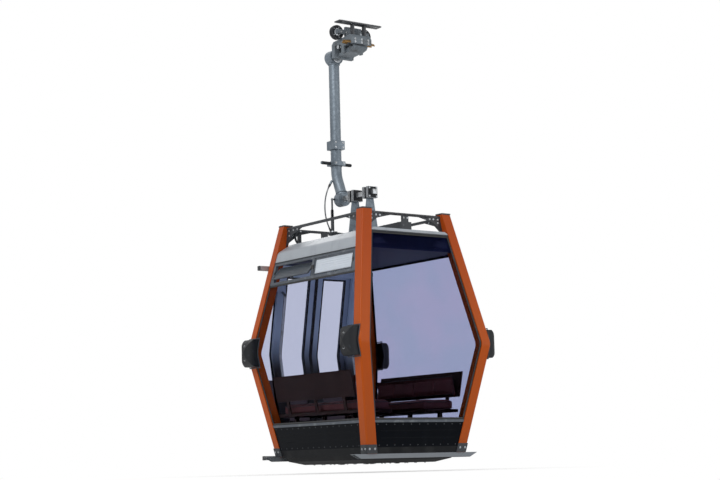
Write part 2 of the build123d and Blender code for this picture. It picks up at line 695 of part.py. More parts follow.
# Bumpers: crowned rubber pads on the end faces of the posts, at the waist
pad_root = HALF_LENGTH - PAD_HEIGHT / 2 * LOWER_LEAN / WAIST_HEIGHT
pad_tip = HALF_LENGTH + PAD_REACH
with BuildPart() as pad:
    with BuildSketch(Plane.XZ):
        with BuildLine():
            crown = ThreePointArc((HALF_LENGTH + PAD_EDGE, Z_WAIST - PAD_HEIGHT / 2), (pad_tip, Z_WAIST),
                                  (HALF_LENGTH + PAD_EDGE, Z_WAIST + PAD_HEIGHT / 2))
            Polyline(crown @ 1, (pad_root, Z_WAIST + PAD_HEIGHT / 2), (pad_root, Z_WAIST - PAD_HEIGHT / 2),
                     crown @ 0)
        make_face()
    extrude(amount=HALF_WIDTH, both=True)
    with BuildSketch(Plane.XY.offset(Z_WAIST)):
        with BuildLine():
            low, high = PAD_Y - PAD_WIDTH / 2, PAD_Y + PAD_WIDTH / 2
            bow = ThreePointArc((HALF_LENGTH + PAD_EDGE, low), (pad_tip, PAD_Y), (HALF_LENGTH + PAD_EDGE, high))
            Polyline(bow @ 1, (pad_root, high), (pad_root, low), bow @ 0)
        make_face()
    extrude(amount=PAD_HEIGHT, both=True, mode=Mode.INTERSECT)
    add(square_post.part, mode=Mode.SUBTRACT)
    add(wall("rear", 0, PAD_REACH * 2, Z_FLOOR, Z_TOP), mode=Mode.SUBTRACT)
with BuildPart() as end_pads:
    for end, side in CORNERS:
        add(at_corner(pad.part, end, side))
keep(end_pads.part, "bumper_pads_ends")

# Route of the control cable, from a gland on the arm to a plug beside the roof beam
route = [Vector(*point) for point in CABLE_ROUTE]
out_of_arm = (route[1] - route[0]).normalized()
into_plug = (route[-1] - route[-2]).normalized()
plug = rod(route[-1], route[-1] + into_plug * PLUG_LENGTH, PLUG_RADIUS)

# Door actuator: a bracket from the door-side tie, and the crooked crank that works the door lock
crank_x = CRANK_FROM_POST - inner_x
with BuildPart() as door_actuator:
    with Locations((crank_x, tie_y, Z_ROOF)):
        Box(CRANK_WIDTH, TIE_WIDTH, Z_TIE - Z_ROOF - TIE_WIDTH / 2,
            align=(Align.CENTER, Align.CENTER, Align.MIN))
    with BuildSketch(Plane.XZ.offset(-tie_y + TIE_WIDTH / 2)):
        with BuildLine():
            ThreePointArc((crank_x, Z_TIE), (crank_x - CRANK_BOW, (Z_TIE + Z_ROOF) / 2),
                          (crank_x - CRANK_BOW / 4, Z_ROOF + CRANK_THICK))
            offset(amount=CRANK_WIDTH / 4)
        make_face()
    extrude(amount=CRANK_THICK)
    add(roof_ties.part, mode=Mode.SUBTRACT)
    add(roof_shell.part, mode=Mode.SUBTRACT)
keep(door_actuator.part, "door_actuator")

# Suspension: a beam across the roof tied to the side ties, two cheeks, an axle and rubber dampers
beam_half = HALF_WIDTH - lean(Z_ROOF) - BEAM_INSET
z_beam_top = Z_ROOF + BEAM_HEIGHT
with BuildPart() as roof_beam:
    with Locations((0, 0, Z_ROOF)):
        Box(BEAM_WIDTH, 2 * beam_half, BEAM_HEIGHT, align=(Align.CENTER, Align.CENTER, Align.MIN))
    for side in (-1, 1):
        with Locations((0, side * tie_y, z_beam_top)):
            Box(BEAM_POST, TIE_WIDTH, Z_TIE - z_beam_top,
                align=(Align.CENTER, Align.CENTER, Align.MIN))
    with Locations((SOCKET_X, ARM_OFFSET, z_beam_top)):
        Box(SOCKET_SIZE, SOCKET_SIZE, SOCKET_SIZE, align=(Align.MIN, Align.CENTER, Align.MIN))
    add(plug, mode=Mode.SUBTRACT)
    add(roof_ties.part, mode=Mode.SUBTRACT)
    add(roof_shell.part, mode=Mode.SUBTRACT)
keep(roof_beam.part, "roof_beam")

with BuildPart() as suspension_cheeks:
    for side in (-1, 1):
        with BuildSketch(Plane.XZ.offset(-side * CHEEK_SPREAD)):
            with BuildLine():
                left_foot = (-CHEEK_FOOT / 2, z_beam_top)
                right_foot = (CHEEK_FOOT / 2, z_beam_top)
                Polyline((-CHEEK_HEAD / 2, Z_AXLE), left_foot, right_foot, (CHEEK_HEAD / 2, Z_AXLE),
                         close=True)
            make_face()
            with Locations((0, Z_AXLE)):
                Circle(CHEEK_HEAD / 2 + CHEEK_ROUND)
                Rectangle(AXLE_SQUARE, AXLE_SQUARE, mode=Mode.SUBTRACT)
        extrude(amount=CHEEK_THICK / 2, both=True)
        with Locations((0, side * CHEEK_SPREAD, z_beam_top)):
            Box(BEAM_WIDTH, 4 * CHEEK_THICK, CHEEK_THICK, align=(Align.CENTER, Align.CENTER, Align.MIN))
keep(suspension_cheeks.part, "suspension_cheeks")

eye_inner = EYE_OFFSET - EYE_LENGTH / 2
eye_outer = EYE_OFFSET + EYE_LENGTH / 2
with BuildPart() as axle:
    with Locations((0, (AXLE_TOWER_END + eye_inner) / 2, Z_AXLE)):
        Box(AXLE_SQUARE, eye_inner - AXLE_TOWER_END, AXLE_SQUARE)
    add(rod((0, eye_inner, Z_AXLE), (0, eye_outer + PIN_HEAD, Z_AXLE), AXLE_RADIUS))
keep(axle.part, "suspension_axle")
with BuildPart() as dampers:
    for side in (-1, 1):
        for offset in (-1, 1):
            with Locations((0, side * CHEEK_SPREAD + offset * (CHEEK_THICK + DAMPER_LENGTH) / 2, Z_AXLE)):
                Box(DAMPER_SIZE, DAMPER_LENGTH, DAMPER_SIZE)
                Box(AXLE_SQUARE, DAMPER_LENGTH, AXLE_SQUARE, mode=Mode.SUBTRACT)
keep(dampers.part, "suspension_dampers")

# Hanger arm: a galvanised tube that runs down outside the rope and bends in to the axle
arm_top = -PIN_DROP - BOSS_RADIUS + ARM_SINK
with BuildPart() as hanger_arm:
    with BuildLine():
        FilletPolyline((0, ARM_OFFSET, arm_top), (0, ARM_OFFSET, -ARM_BEND_DROP),
                       (0, EYE_OFFSET, Z_AXLE + EYE_RADIUS * 0.5), radius=ARM_BEND_RADIUS)
    with BuildSketch(Plane.XY.offset(arm_top).move(Location((0, ARM_OFFSET, 0)))):
        Circle(ARM_RADIUS)
    sweep()
    with Locations((0, ARM_OFFSET, -PIN_DROP)):
        Cylinder(BOSS_RADIUS, BOSS_LENGTH, rotation=(90, 0, 0))
        Cylinder(PIN_RADIUS + RUNNING, 2 * BOSS_LENGTH, rotation=(90, 0, 0), mode=Mode.SUBTRACT)
    with Locations((0, EYE_OFFSET, Z_AXLE)):
        Cylinder(EYE_RADIUS, EYE_LENGTH, rotation=(90, 0, 0))
        Cylinder(AXLE_RADIUS, 2 * EYE_LENGTH, rotation=(90, 0, 0), mode=Mode.SUBTRACT)
    with Locations((0, ARM_OFFSET, -COLLAR_DROP)):
        Box(COLLAR_WIDTH, COLLAR_WIDTH, COLLAR_HEIGHT)
        with Locations((COLLAR_WIDTH / 2, 0, 0)):
            Box(COLLAR_LUG, COLLAR_LUG, COLLAR_HEIGHT - COLLAR_LUG / 2)
    with Locations((0, ARM_OFFSET, -STEP_DROP)):
        Box(STEP_CLAMP, STEP_CLAMP, 3 * STEP_RADIUS)
    add(rod(route[0] - out_of_arm * GLAND_LENGTH, route[0], GLAND_RADIUS))
keep(hanger_arm.part, "hanger_arm")

with BuildPart() as step:
    for side in (-1, 1):
        add(rod((side * STEP_CLAMP / 2, ARM_OFFSET, -STEP_DROP),
                (side * STEP_HALF, ARM_OFFSET, -STEP_DROP), STEP_RADIUS))
keep(step.part, "hanger_step")

# Damper strut from the roof beam up to a lug on the hanger's lower eye
with BuildPart() as strut:
    add(rod((-STRUT_BACK, STRUT_OUT, z_beam_top + STRUT_FOOT), (-STRUT_BACK, STRUT_OUT, Z_AXLE - STRUT_STROKE),
            STRUT_RADIUS))
    add(rod((-STRUT_BACK, STRUT_OUT, Z_AXLE - STRUT_STROKE), (-STRUT_BACK, STRUT_OUT, Z_AXLE), STRUT_ROD))
    add(rod((-STRUT_BACK, STRUT_OUT, Z_AXLE), (STRUT_ROD - EYE_RADIUS, STRUT_OUT, Z_AXLE), STRUT_ROD))
    foot_length = STRUT_BACK + 2 * STRUT_RADIUS - BEAM_WIDTH / 4
    with Locations((-BEAM_WIDTH / 4 - foot_length / 2, STRUT_OUT, z_beam_top)):
        Box(foot_length, 2 * STRUT_FOOT, STRUT_FOOT, align=(Align.CENTER, Align.CENTER, Align.MIN))
    add(hanger_arm.part, mode=Mode.SUBTRACT)
keep(strut.part, "damper_strut")

# Grip: a cast body over the rope, which carries the hanger pin, two running wheels and the jaw
with BuildPart() as grip_body:
    with BuildSketch(Plane.YZ):
        with BuildLine():
            Polyline((-GRIP_INNER, -GRIP_UNDER), (-GRIP_INNER, GRIP_TOP * 0.6),
                     (-GRIP_INNER * 0.5, GRIP_TOP), (GRIP_OUTER - GRIP_BEVEL, GRIP_TOP * 0.8),
                     (GRIP_OUTER, GRIP_TOP * 0.5), (GRIP_OUTER, -PIN_DROP - PIN_CHEEK),
                     (GRIP_OUTER - PIN_CHEEK * 0.8, -PIN_DROP - PIN_CHEEK),
                     (GRIP_OUTER - 2 * GRIP_BEVEL, GRIP_ARCH), (GRIP_INNER * 2.6, GRIP_ARCH),
                     (GRIP_INNER * 2.2, -GRIP_UNDER), close=True)
        make_face()
        Circle(ROPE_RADIUS, mode=Mode.SUBTRACT)
    extrude(amount=JAW_HALF, both=True)
    with Locations((0, WHEEL_BEAM_Y, WHEEL_RISE)):
        Box(2 * WHEEL_SPREAD + 3 * WHEEL_AXLE, WHEEL_BEAM, 3 * WHEEL_AXLE)
    with Locations((0, WHEEL_BEAM_Y, WHEEL_RISE)):
        Box(2 * JAW_HALF * WHEEL_BEAM_SHARE, WHEEL_BEAM, 2 * (WHEEL_RISE - GRIP_TOP + WHEEL_BEAM_SINK))
    for x in (-WHEEL_SPREAD, WHEEL_SPREAD):
        wheel_y = WHEEL_BEAM_Y + WHEEL_BEAM / 2
        add(rod((x, WHEEL_BEAM_Y, WHEEL_RISE), (x, wheel_y + MOVING_GAP + WHEEL_WIDTH, WHEEL_RISE),
                WHEEL_AXLE))
        add(rod((x, wheel_y + 2 * MOVING_GAP + WHEEL_WIDTH, WHEEL_RISE),
                (x, wheel_y + 3 * MOVING_GAP + WHEEL_WIDTH, WHEEL_RISE), WHEEL_AXLE * WHEEL_CAP_SHARE))
        add(rod((x, wheel_y, WHEEL_RISE), (x, wheel_y + 2 * MOVING_GAP + WHEEL_WIDTH, WHEEL_RISE),
                WHEEL_AXLE))
    add(rod((-JAW_HALF, JAW_PIVOT_Y, JAW_PIVOT_Z), (JAW_HALF, JAW_PIVOT_Y, JAW_PIVOT_Z), JAW_PIN))
    lug_low = JAW_PIVOT_Z - JAW_PIN - JAW_LUG / 2
    for x in (-JAW_HALF + JAW_LUG / 2, JAW_HALF - JAW_LUG / 2):
        with Locations((x, JAW_PIVOT_Y, lug_low)):
            Box(JAW_LUG, 2 * JAW_LUG, -GRIP_UNDER - lug_low, align=(Align.CENTER, Align.CENTER, Align.MIN))
keep(grip_body.part, "grip_body")

wheel_mid = WHEEL_BEAM_Y + WHEEL_BEAM / 2 + MOVING_GAP + WHEEL_WIDTH / 2
for name, x in (("carrier_wheel_front", -WHEEL_SPREAD), ("carrier_wheel_rear", WHEEL_SPREAD)):
    with BuildPart() as wheel:
        with Locations((x, wheel_mid, WHEEL_RISE)):
            Cylinder(WHEEL_RADIUS, WHEEL_WIDTH, rotation=(90, 0, 0))
            Cylinder(WHEEL_AXLE + RUNNING, WHEEL_WIDTH, rotation=(90, 0, 0), mode=Mode.SUBTRACT)
    keep(wheel.part, name)

with BuildPart() as grip_pin:
    add(rod((0, GRIP_OUTER, -PIN_DROP), (0, ARM_OFFSET + BOSS_LENGTH / 2 + MOVING_GAP, -PIN_DROP), PIN_RADIUS))
    add(rod((0, ARM_OFFSET + BOSS_LENGTH / 2 + MOVING_GAP, -PIN_DROP),
            (0, ARM_OFFSET + BOSS_LENGTH / 2 + MOVING_GAP + PIN_HEAD, -PIN_DROP), PIN_HEAD_RADIUS))
keep(grip_pin.part, "grip_pin")

with BuildPart() as drive_shoe:
    with Locations((0, 0, SHOE_RISE)):
        Box(2 * SHOE_HALF, SHOE_WIDTH, SHOE_THICK, align=(Align.CENTER, Align.CENTER, Align.MIN))
    for x in (-SHOE_LEG_X, SHOE_LEG_X):
        with Locations((x, 0, GRIP_TOP - SHOE_LEG)):
            Box(SHOE_LEG, SHOE_WIDTH / 2, SHOE_RISE - GRIP_TOP + SHOE_LEG,
                align=(Align.CENTER, Align.CENTER, Align.MIN))
    add(grip_body.part, mode=Mode.SUBTRACT)
keep(drive_shoe.part, "drive_shoe")

# Moving jaw: it swings on a pin along the rope, and its lever carries the roller that opens it
jaw_top = -GRIP_UNDER - MOVING_GAP
lever_z = LEVER_DEPTH / 2 - JAW_DEPTH - LEVER_TURN
with BuildPart() as grip_jaw:
    with BuildSketch(Plane.YZ):
        with BuildLine():
            Polyline((-JAW_LIP * 0.85, jaw_top), (-JAW_LIP, -JAW_DEPTH * 0.43),
                     (-JAW_LIP * 0.5, -JAW_DEPTH * 0.75), (GRIP_INNER, -JAW_DEPTH),
                     (JAW_PIVOT_Y, JAW_PIVOT_Z - JAW_EYE), (LEVER_REACH, -JAW_DEPTH - LEVER_TURN),
                     (LEVER_REACH, LEVER_DEPTH - JAW_DEPTH - LEVER_TURN),
                     (JAW_PIVOT_Y + JAW_EYE * 0.8, JAW_PIVOT_Z + JAW_EYE * 0.6),
                     (JAW_PIVOT_Y - JAW_EYE * 0.3, JAW_PIVOT_Z + JAW_EYE * 0.9),
                     (GRIP_INNER, jaw_top - JAW_PIN), (JAW_LIP, jaw_top), close=True)
        make_face()
        Circle(ROPE_RADIUS, mode=Mode.SUBTRACT)
        with Locations((JAW_PIVOT_Y, JAW_PIVOT_Z)):
            Circle(JAW_PIN + RUNNING, mode=Mode.SUBTRACT)
    extrude(amount=MOVING_JAW_HALF, both=True)
    add(rod((-MOVING_JAW_HALF, LEVER_REACH, lever_z), (MOVING_JAW_HALF, LEVER_REACH, lever_z), LEVER_ROLLER))
keep(grip_jaw.part, "grip_jaw")

# Control cable from a gland on the arm down to a plug beside the roof beam
radii = []
for before, here, after in zip(route, route[1:], route[2:]):
    turn = (here - before).get_angle(after - here)
    radii.append(CABLE_BEND_SHARE * min((here - before).length, (after - here).length) / tan(radians(turn / 2)))
print("cable radii", [round(r) for r in radii])
with BuildPart() as cable:
    with BuildLine() as path:
        FilletPolyline(*route, radius=radii)
    with BuildSketch(Plane(origin=route[0], z_dir=route[1] - route[0])):
        Circle(CABLE_RADIUS)
    sweep()
cable_length = sum(run.length for run in path.edges())
print("cable length", round(cable_length), "volume over section times length",
      round(cable.part.volume / (cable_length * pi * CABLE_RADIUS ** 2), 4))
keep(cable.part, "control_cable")
keep(plug, "cable_plug")
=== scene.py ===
import bmesh
import bpy
import math
import numpy as np
from mathutils import Matrix, Vector
from mathutils.bvhtree import BVHTree


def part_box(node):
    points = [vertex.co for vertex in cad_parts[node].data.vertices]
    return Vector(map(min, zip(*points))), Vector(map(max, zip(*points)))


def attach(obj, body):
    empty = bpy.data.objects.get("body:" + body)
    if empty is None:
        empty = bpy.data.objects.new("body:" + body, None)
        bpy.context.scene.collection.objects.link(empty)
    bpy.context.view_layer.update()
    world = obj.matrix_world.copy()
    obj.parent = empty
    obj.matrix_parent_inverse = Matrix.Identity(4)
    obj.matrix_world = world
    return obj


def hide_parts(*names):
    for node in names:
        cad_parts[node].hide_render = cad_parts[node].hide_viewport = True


# A cable car cabin on its hanger and rope grip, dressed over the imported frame. Metres.
# The origin is on the rope's axis; +X runs along the rope, +Y is the door side, "front" is -X.

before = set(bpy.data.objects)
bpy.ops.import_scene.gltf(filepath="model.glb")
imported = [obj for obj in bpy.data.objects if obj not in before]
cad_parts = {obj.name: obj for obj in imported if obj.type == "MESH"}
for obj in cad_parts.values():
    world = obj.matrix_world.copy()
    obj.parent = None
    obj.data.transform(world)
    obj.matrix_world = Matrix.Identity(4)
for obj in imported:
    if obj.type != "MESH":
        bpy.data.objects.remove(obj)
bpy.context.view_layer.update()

# Camera. It stands low in front of the tower side and looks up at the cabin. Its place, heading and
# roll come from the edges of three posts in the photograph; the lens brings the object closer.

CAMERA_PLACE = Vector((-9.48, -13.04, -4.20))
CAMERA_AIM = Vector((0.0, 0.06, -1.98))
CAMERA_LENS = 82.0
CAMERA_ROLL = math.radians(-1.46)


def link(made):
    """Puts a new object into the scene."""
    bpy.context.collection.objects.link(made)
    return made


heading = (CAMERA_AIM - CAMERA_PLACE).normalized()
level_right = heading.cross(Vector((0, 0, 1))).normalized()
level_up = level_right.cross(heading)
right = level_right * math.cos(CAMERA_ROLL) + level_up * math.sin(CAMERA_ROLL)
up = level_up * math.cos(CAMERA_ROLL) - level_right * math.sin(CAMERA_ROLL)
camera = link(bpy.data.objects.new("camera", bpy.data.cameras.new("camera")))
camera.data.lens = CAMERA_LENS
camera.data.clip_end = 200.0
axes = Matrix((right, up, -heading)).transposed().to_4x4()
camera.matrix_world = Matrix.Translation(CAMERA_PLACE) @ axes
bpy.context.scene.camera = camera

# Control cable. A sheathed push-pull cable that works the door lock: it leaves a gland on the
# hanger arm, bows outwards and goes into a plug beside the roof beam. Rubber-sheathed steel wire,
# with a tapered sleeve moulded over each end.

CABLE_ROUTE = [(-0.086, 0.440, -1.372), (-0.148, 0.447, -1.480),
               (-0.148, 0.447, -1.740), (-0.088, 0.440, -1.842)]
CABLE_RADIUS = 0.007


class Wire:
    """A shader socket that takes part in sums: each operator adds the Math node it stands for."""

    def __init__(self, tree, socket=None):
        self.tree = tree
        self.socket = socket

    def node(self, kind, sockets=None, out=0, **settings):
        """Adds any node: first its settings, then the values or links of its sockets."""
        made = self.tree.nodes.new("ShaderNode" + kind)
        for name, value in settings.items():
            setattr(made, name, value)
        for name, value in (sockets or {}).items():
            if isinstance(value, Wire):
                self.tree.links.new(value.socket, made.inputs[name])
            else:
                made.inputs[name].default_value = value
        return Wire(self.tree, made.outputs[out])

    def math(self, operation, *values):
        return self.node("Math", dict(enumerate(values)), operation=operation)

    def __add__(self, other):
        return self.math("ADD", self, other)

    def __sub__(self, other):
        return self.math("SUBTRACT", self, other)

    def __rsub__(self, other):
        return self.math("SUBTRACT", other, self)

    def __mul__(self, other):
        return self.math("MULTIPLY", self, other)

    __radd__ = __add__
    __rmul__ = __mul__

    def step(self, low, high):
        """0 below low, 1 above high, and a smooth rise between them."""
        return self.node("MapRange", {"Value": self, "From Min": low, "From Max": high},
                         interpolation_type="SMOOTHSTEP")

    def mix(self, first, second):
        """The first colour where this value is 0, the second where it is 1."""
        return self.node("Mix", {0: self, 6: first, 7: second}, 2, data_type="RGBA")

    def axes(self):
        """The three numbers of a vector."""
        split = self.node("SeparateXYZ", {0: self}).socket.node
        return [Wire(self.tree, socket) for socket in split.outputs]

    def noise(self, scale, detail=3.0, stretch=(1.0, 1.0, 1.0)):
        """Cloudy noise over this place, drawn out along an axis by a small stretch."""
        place = self.node("VectorMath", {0: self, 1: stretch}, operation="MULTIPLY")
        return self.node("TexNoise", {"Vector": place, "Scale": scale, "Detail": detail})

    def cells(self, scale, out=0):
        """Voronoi cells over this place: distances, or a colour of each cell."""
        return self.node("TexVoronoi", {"Vector": self, "Scale": scale}, out)


def finish(name, paint, slot="", **fixed):
    """A material of one Principled surface: fixed sockets, and what paint(place) returns for the rest.
    The slot is not used."""
    material = bpy.data.materials.new(name)
    material.use_nodes = True
    tree = material.node_tree
    surface = tree.nodes["Principled BSDF"]
    place = Wire(tree).node("TexCoord", out=3)
    sockets = {key.replace("_", " "): value for key, value in fixed.items()}
    sockets.update(paint(place))
    for key, value in sockets.items():
        if key == "Bump":
            height, strength, distance = value
            value = height.node("Bump", {"Height": height, "Strength": strength, "Distance": distance})
            key = "Normal"
        if isinstance(value, Wire):
            tree.links.new(value.socket, surface.inputs[key])
        else:
            surface.inputs[key].default_value = value
    return material


def colour(red, green, blue):
    """A colour as it is written on a colour card, from 0 to 255, in linear light."""
    tones = np.array([red, green, blue]) / 255.0
    return (*np.where(tones <= 0.04045, tones / 12.92, ((tones + 0.055) / 1.055) ** 2.4), 1.0)


def worn(clean, dull, patches, edges=(), grain=(), rough=(0.5, 0.2), bump=(), gloss="grain"):
    """A paint of two colours mixed by cloudy patches, which may be sharpened between two edges. Cells
    or noise give a fine grain. Roughness is a base + a share of the grain, or of the patches where
    there is no grain or gloss asks for them, and the bump follows the grain."""

    def paint(place):
        cloud = place.noise(*patches)
        fine = cloud
        if grain:
            fine = place.noise(*grain) if isinstance(grain, tuple) else place.cells(grain)
        mask = cloud.step(*edges) if edges else cloud
        sockets = {"Base Color": mask.mix(colour(*clean), colour(*dull))}
        if rough:
            sockets["Roughness"] = rough[0] + (fine if gloss == "grain" else cloud) * rough[1]
        if bump:
            sockets["Bump"] = (fine, *bump)
        return sockets

    return paint


def dress(material, *nodes):
    """Gives a material to carried-over frame nodes."""
    for node in nodes:
        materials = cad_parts[node].data.materials
        materials.clear()
        materials.append(material)


def panel(points, ring=False, caps=False):
    """Faces over a grid of points: every four neighbours make one. A ring joins the last column to the
    first, and caps close the first and the last row on their middles."""
    points = np.asarray(points, float)
    if caps:
        ends = points[[0, -1]].mean(axis=1, keepdims=True).repeat(points.shape[1], axis=1)
        points = np.concatenate([ends[:1], points, ends[1:]])
    rows, columns = points.shape[:2]
    index = np.arange(rows * columns).reshape(rows, columns)
    if ring:
        index = np.concatenate([index, index[:, :1]], axis=1)
    faces = np.stack([index[:-1, :-1], index[:-1, 1:], index[1:, 1:], index[1:, :-1]], axis=-1)
    return points.reshape(-1, 3), faces.reshape(-1, 4)


def unit(vectors):
    """The same directions, each with the length 1."""
    return vectors / np.linalg.norm(vectors, axis=-1, keepdims=True)


def turned(profile, centres, axes, count=24):
    """Profiles of radius and height pairs spun about one axis or many: centre + radius * (cosine, sine)
    across the axis + height along it."""
    profile = np.asarray(profile, float)
    centres, axes = np.broadcast_arrays(np.atleast_2d(centres), np.atleast_2d(axes))
    axes = unit(axes)
    helper = np.where(np.abs(axes[:, 2:]) < 0.9, (0.0, 0.0, 1.0), (1.0, 0.0, 0.0))
    across = unit(np.cross(helper, axes))
    angle = np.arange(count) * 2 * np.pi / count
    around = (across[:, None] * np.cos(angle)[:, None]
              + np.cross(axes, across)[:, None] * np.sin(angle)[:, None])
    points = (centres[:, None, None] + profile[None, :, None, :1] * around[:, None]
              + profile[None, :, None, 1:] * axes[:, None, None])
    return [panel(copy, ring=True, caps=True) for copy in points]


def build(name, parts, material, body="carrier", sharp=35.0):
    """One object of several panels: points joined, doubles merged, faces turned outwards, edges kept
    sharp where their faces meet at more than an angle. It rides on a body."""
    first = np.cumsum([0] + [len(points) for points, _ in parts])
    points = np.concatenate([points for points, _ in parts])
    faces = np.concatenate([faces + start for (_, faces), start in zip(parts, first)])
    mesh = bpy.data.meshes.new(name)
    mesh.from_pydata(points.tolist(), [], faces.tolist())
    shell = bmesh.new()
    shell.from_mesh(mesh)
    bmesh.ops.remove_doubles(shell, verts=shell.verts, dist=2e-6)
    bmesh.ops.recalc_face_normals(shell, faces=shell.faces)
    shell.to_mesh(mesh)
    shell.free()
    mesh.shade_smooth()
    mesh.set_sharp_from_angle(angle=math.radians(sharp))
    mesh.materials.append(material)
    made = link(bpy.data.objects.new(name, mesh))
    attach(made, body)
    return made


cable_line = bpy.data.curves.new("control_cable_sheath", "CURVE")
cable_line.dimensions = "3D"
cable_line.bevel_depth = CABLE_RADIUS
cable_line.bevel_resolution = 5
cable_line.resolution_u = 12
cable_line.use_fill_caps = True
spline = cable_line.splines.new("NURBS")
spline.points.add(len(CABLE_ROUTE) - 1)
for point, place in zip(spline.points, CABLE_ROUTE):
    point.co = (*place, 1.0)
spline.order_u = 3
spline.use_endpoint_u = True
cable = link(bpy.data.objects.new("control_cable_sheath", cable_line))
cable_line.materials.append(finish("cable_sheath", worn(
    (92, 95, 100), (132, 134, 137), (30.0,), (0.45, 0.75), 900.0, (0.55, 0.2), (0.3, 0.0008))))
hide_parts("control_cable")
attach(cable, "carrier")
plug_plastic = finish("plug_plastic", worn(
    (33, 34, 37), (74, 76, 80), (60.0, 4.0), (0.55, 0.8), rough=(0.4, 0.25)), "plug_black")
dress(plug_plastic, "cable_plug")

route = np.array(CABLE_ROUTE)
cable_out = route[1] - route[0]
cable_in = route[-2] - route[-1]
sleeve = [(0.0125, -0.004), (0.0125, 0.004), (0.0112, 0.006), (0.0122, 0.009), (0.0104, 0.012),
          (0.0112, 0.015), (0.0095, 0.018), (0.0102, 0.021), (0.0086, 0.025), (0.0076, 0.034)]
cable_sleeves = build("cable_sleeves", turned(sleeve, [route[0], route[-1]], [cable_out, cable_in], 20),
                      plug_plastic)

# Studio. A pale floor just under the hanging cabin that turns white with distance, a white
# surround for the camera, glass and metal, a broad key light from the left, a fill and a back light.

FLOOR_LEVEL = -4.27
FLOOR_HALF = 60
SHADOW_FADE = (0.9, 2.6)
SURROUND = 0.5
KEY_LIGHT = (Vector((-10.0, -5.0, 5.0)), 9.0, 940.0)
FILL_LIGHT = (Vector((5.0, -11.0, -1.0)), 10.0, 330.0)
BACK_LIGHT = (Vector((6.0, 9.0, 3.0)), 10.0, 480.0)


def shown(tree):
    """1 for camera, glossy and transmitted rays, and 0 for the rays that light the object."""
    ray = Wire(tree).node("LightPath").socket.node
    camera_ray, glossy, through = (Wire(tree, ray.outputs[key]) for key in
                                   ("Is Camera Ray", "Is Glossy Ray", "Is Transmission Ray"))
    return camera_ray.math("MAXIMUM", camera_ray.math("MAXIMUM", camera_ray, glossy), through)


def paint_floor(place):
    """Pale, and mixed with a white glow that grows with the distance, sqrt(x * x + y * y)."""
    x, y, _ = place.axes()
    far = x.math("SQRT", x * x + y * y).step(*SHADOW_FADE)
    nodes = place.tree.nodes
    glow = place.node("Emission", {"Color": (1.0, 1.0, 1.0, 1.0), "Strength": 1.0})
    lit = Wire(place.tree, nodes["Principled BSDF"].outputs[0])
    mixed = place.node("MixShader", {0: shown(place.tree) * (0.5 + far * 0.5), 1: lit, 2: glow})
    place.tree.links.new(mixed.socket, nodes["Material Output"].inputs["Surface"])
    return {"Base Color": (0.84, 0.84, 0.84, 1.0), "Roughness": 0.9}


world = bpy.data.worlds.new("studio")
bpy.context.scene.world = world
world.use_nodes = True
seen = shown(world.node_tree)
world_light = world.node_tree.nodes["Background"]
world_light.inputs["Color"].default_value = (1.0, 1.0, 1.0, 1.0)
world.node_tree.links.new((SURROUND + seen * (1.0 - SURROUND)).socket, world_light.inputs["Strength"])

floor_mesh = bpy.data.meshes.new("studio_floor")
floor_mesh.from_pydata([(x * FLOOR_HALF, y * FLOOR_HALF, FLOOR_LEVEL)
                        for x, y in ((-1, -1), (1, -1), (1, 1), (-1, 1))], [], [(0, 1, 2, 3)])
floor = link(bpy.data.objects.new("studio_floor", floor_mesh))
floor_mesh.materials.append(finish("studio_floor", paint_floor))

for name, (place, size, power) in (("key", KEY_LIGHT), ("fill", FILL_LIGHT), ("back", BACK_LIGHT)):
    lamp = bpy.data.lights.new(name, "AREA")
    lamp.shape = "DISK"
    lamp.size = size
    lamp.energy = power
    light = link(bpy.data.objects.new(name, lamp))
    light.location = place
    light.rotation_mode = "QUATERNION"
    light.rotation_quaternion = (CAMERA_AIM - place).to_track_quat("-Z", "Y")
    light.visible_transmission = False
bpy.context.scene.view_settings.view_transform = "Standard"

# Grip. Cast steel jaws that close on the rope, in grey primer with greasy hollows. Cap screws hold
# the lining and the shoe, and a coil spring on a rod lies under the arch of the body.

GRIP_HALF = 0.120
LINER_BORE = 0.0255
TONGUE_LENGTH = 0.066
SPRING_PLACE = (0.195, 0.007)
SPRING_RADIUS = 0.013
SPRING_WIRE = 0.003
SPRING_HALF = 0.106
SPRING_TURNS = 17
ENDS = (("front", -1), ("rear", 1))


def drawn(profile, path, facing, closed=False):
    """A flat profile drawn along a path: path + first number sideways + second number towards facing,
    widened at each corner so that its straight runs keep their width."""
    path = np.asarray(path, float)
    profile = np.asarray(profile, float)
    tail = path[:1] if closed else 2 * path[-1:] - path[-2:-1]
    after = unit(np.diff(path, axis=0, append=tail))
    before = np.roll(after, 1, axis=0)
    if not closed:
        before[0] = after[0]
    ahead = unit(before + after)
    side = unit(np.cross(ahead, np.broadcast_to(facing, path.shape)))
    out = np.cross(side, ahead)
    mitre = 1.0 / (ahead * after).sum(axis=1)[:, None, None]
    points = path[:, None] + profile[:, :1] * side[:, None] * mitre + profile[:, 1:] * out[:, None]
    if closed:
        points = np.concatenate([points, points[:1]])
    return panel(points, ring=True, caps=not closed)


def squared(value, power):
    """Sines or cosines raised to a power with their signs kept: 1 leaves them round, 0 makes a square."""
    return np.sign(value) * np.abs(value) ** power


def oval(width, height, power=1.0, count=16):
    """An outline: an ellipse whose cosine and sine are raised to a power."""
    angle = (np.arange(count) + 0.5) * 2 * np.pi / count
    return squared(np.stack([np.cos(angle), np.sin(angle)], axis=1), power) * (width / 2, height / 2)


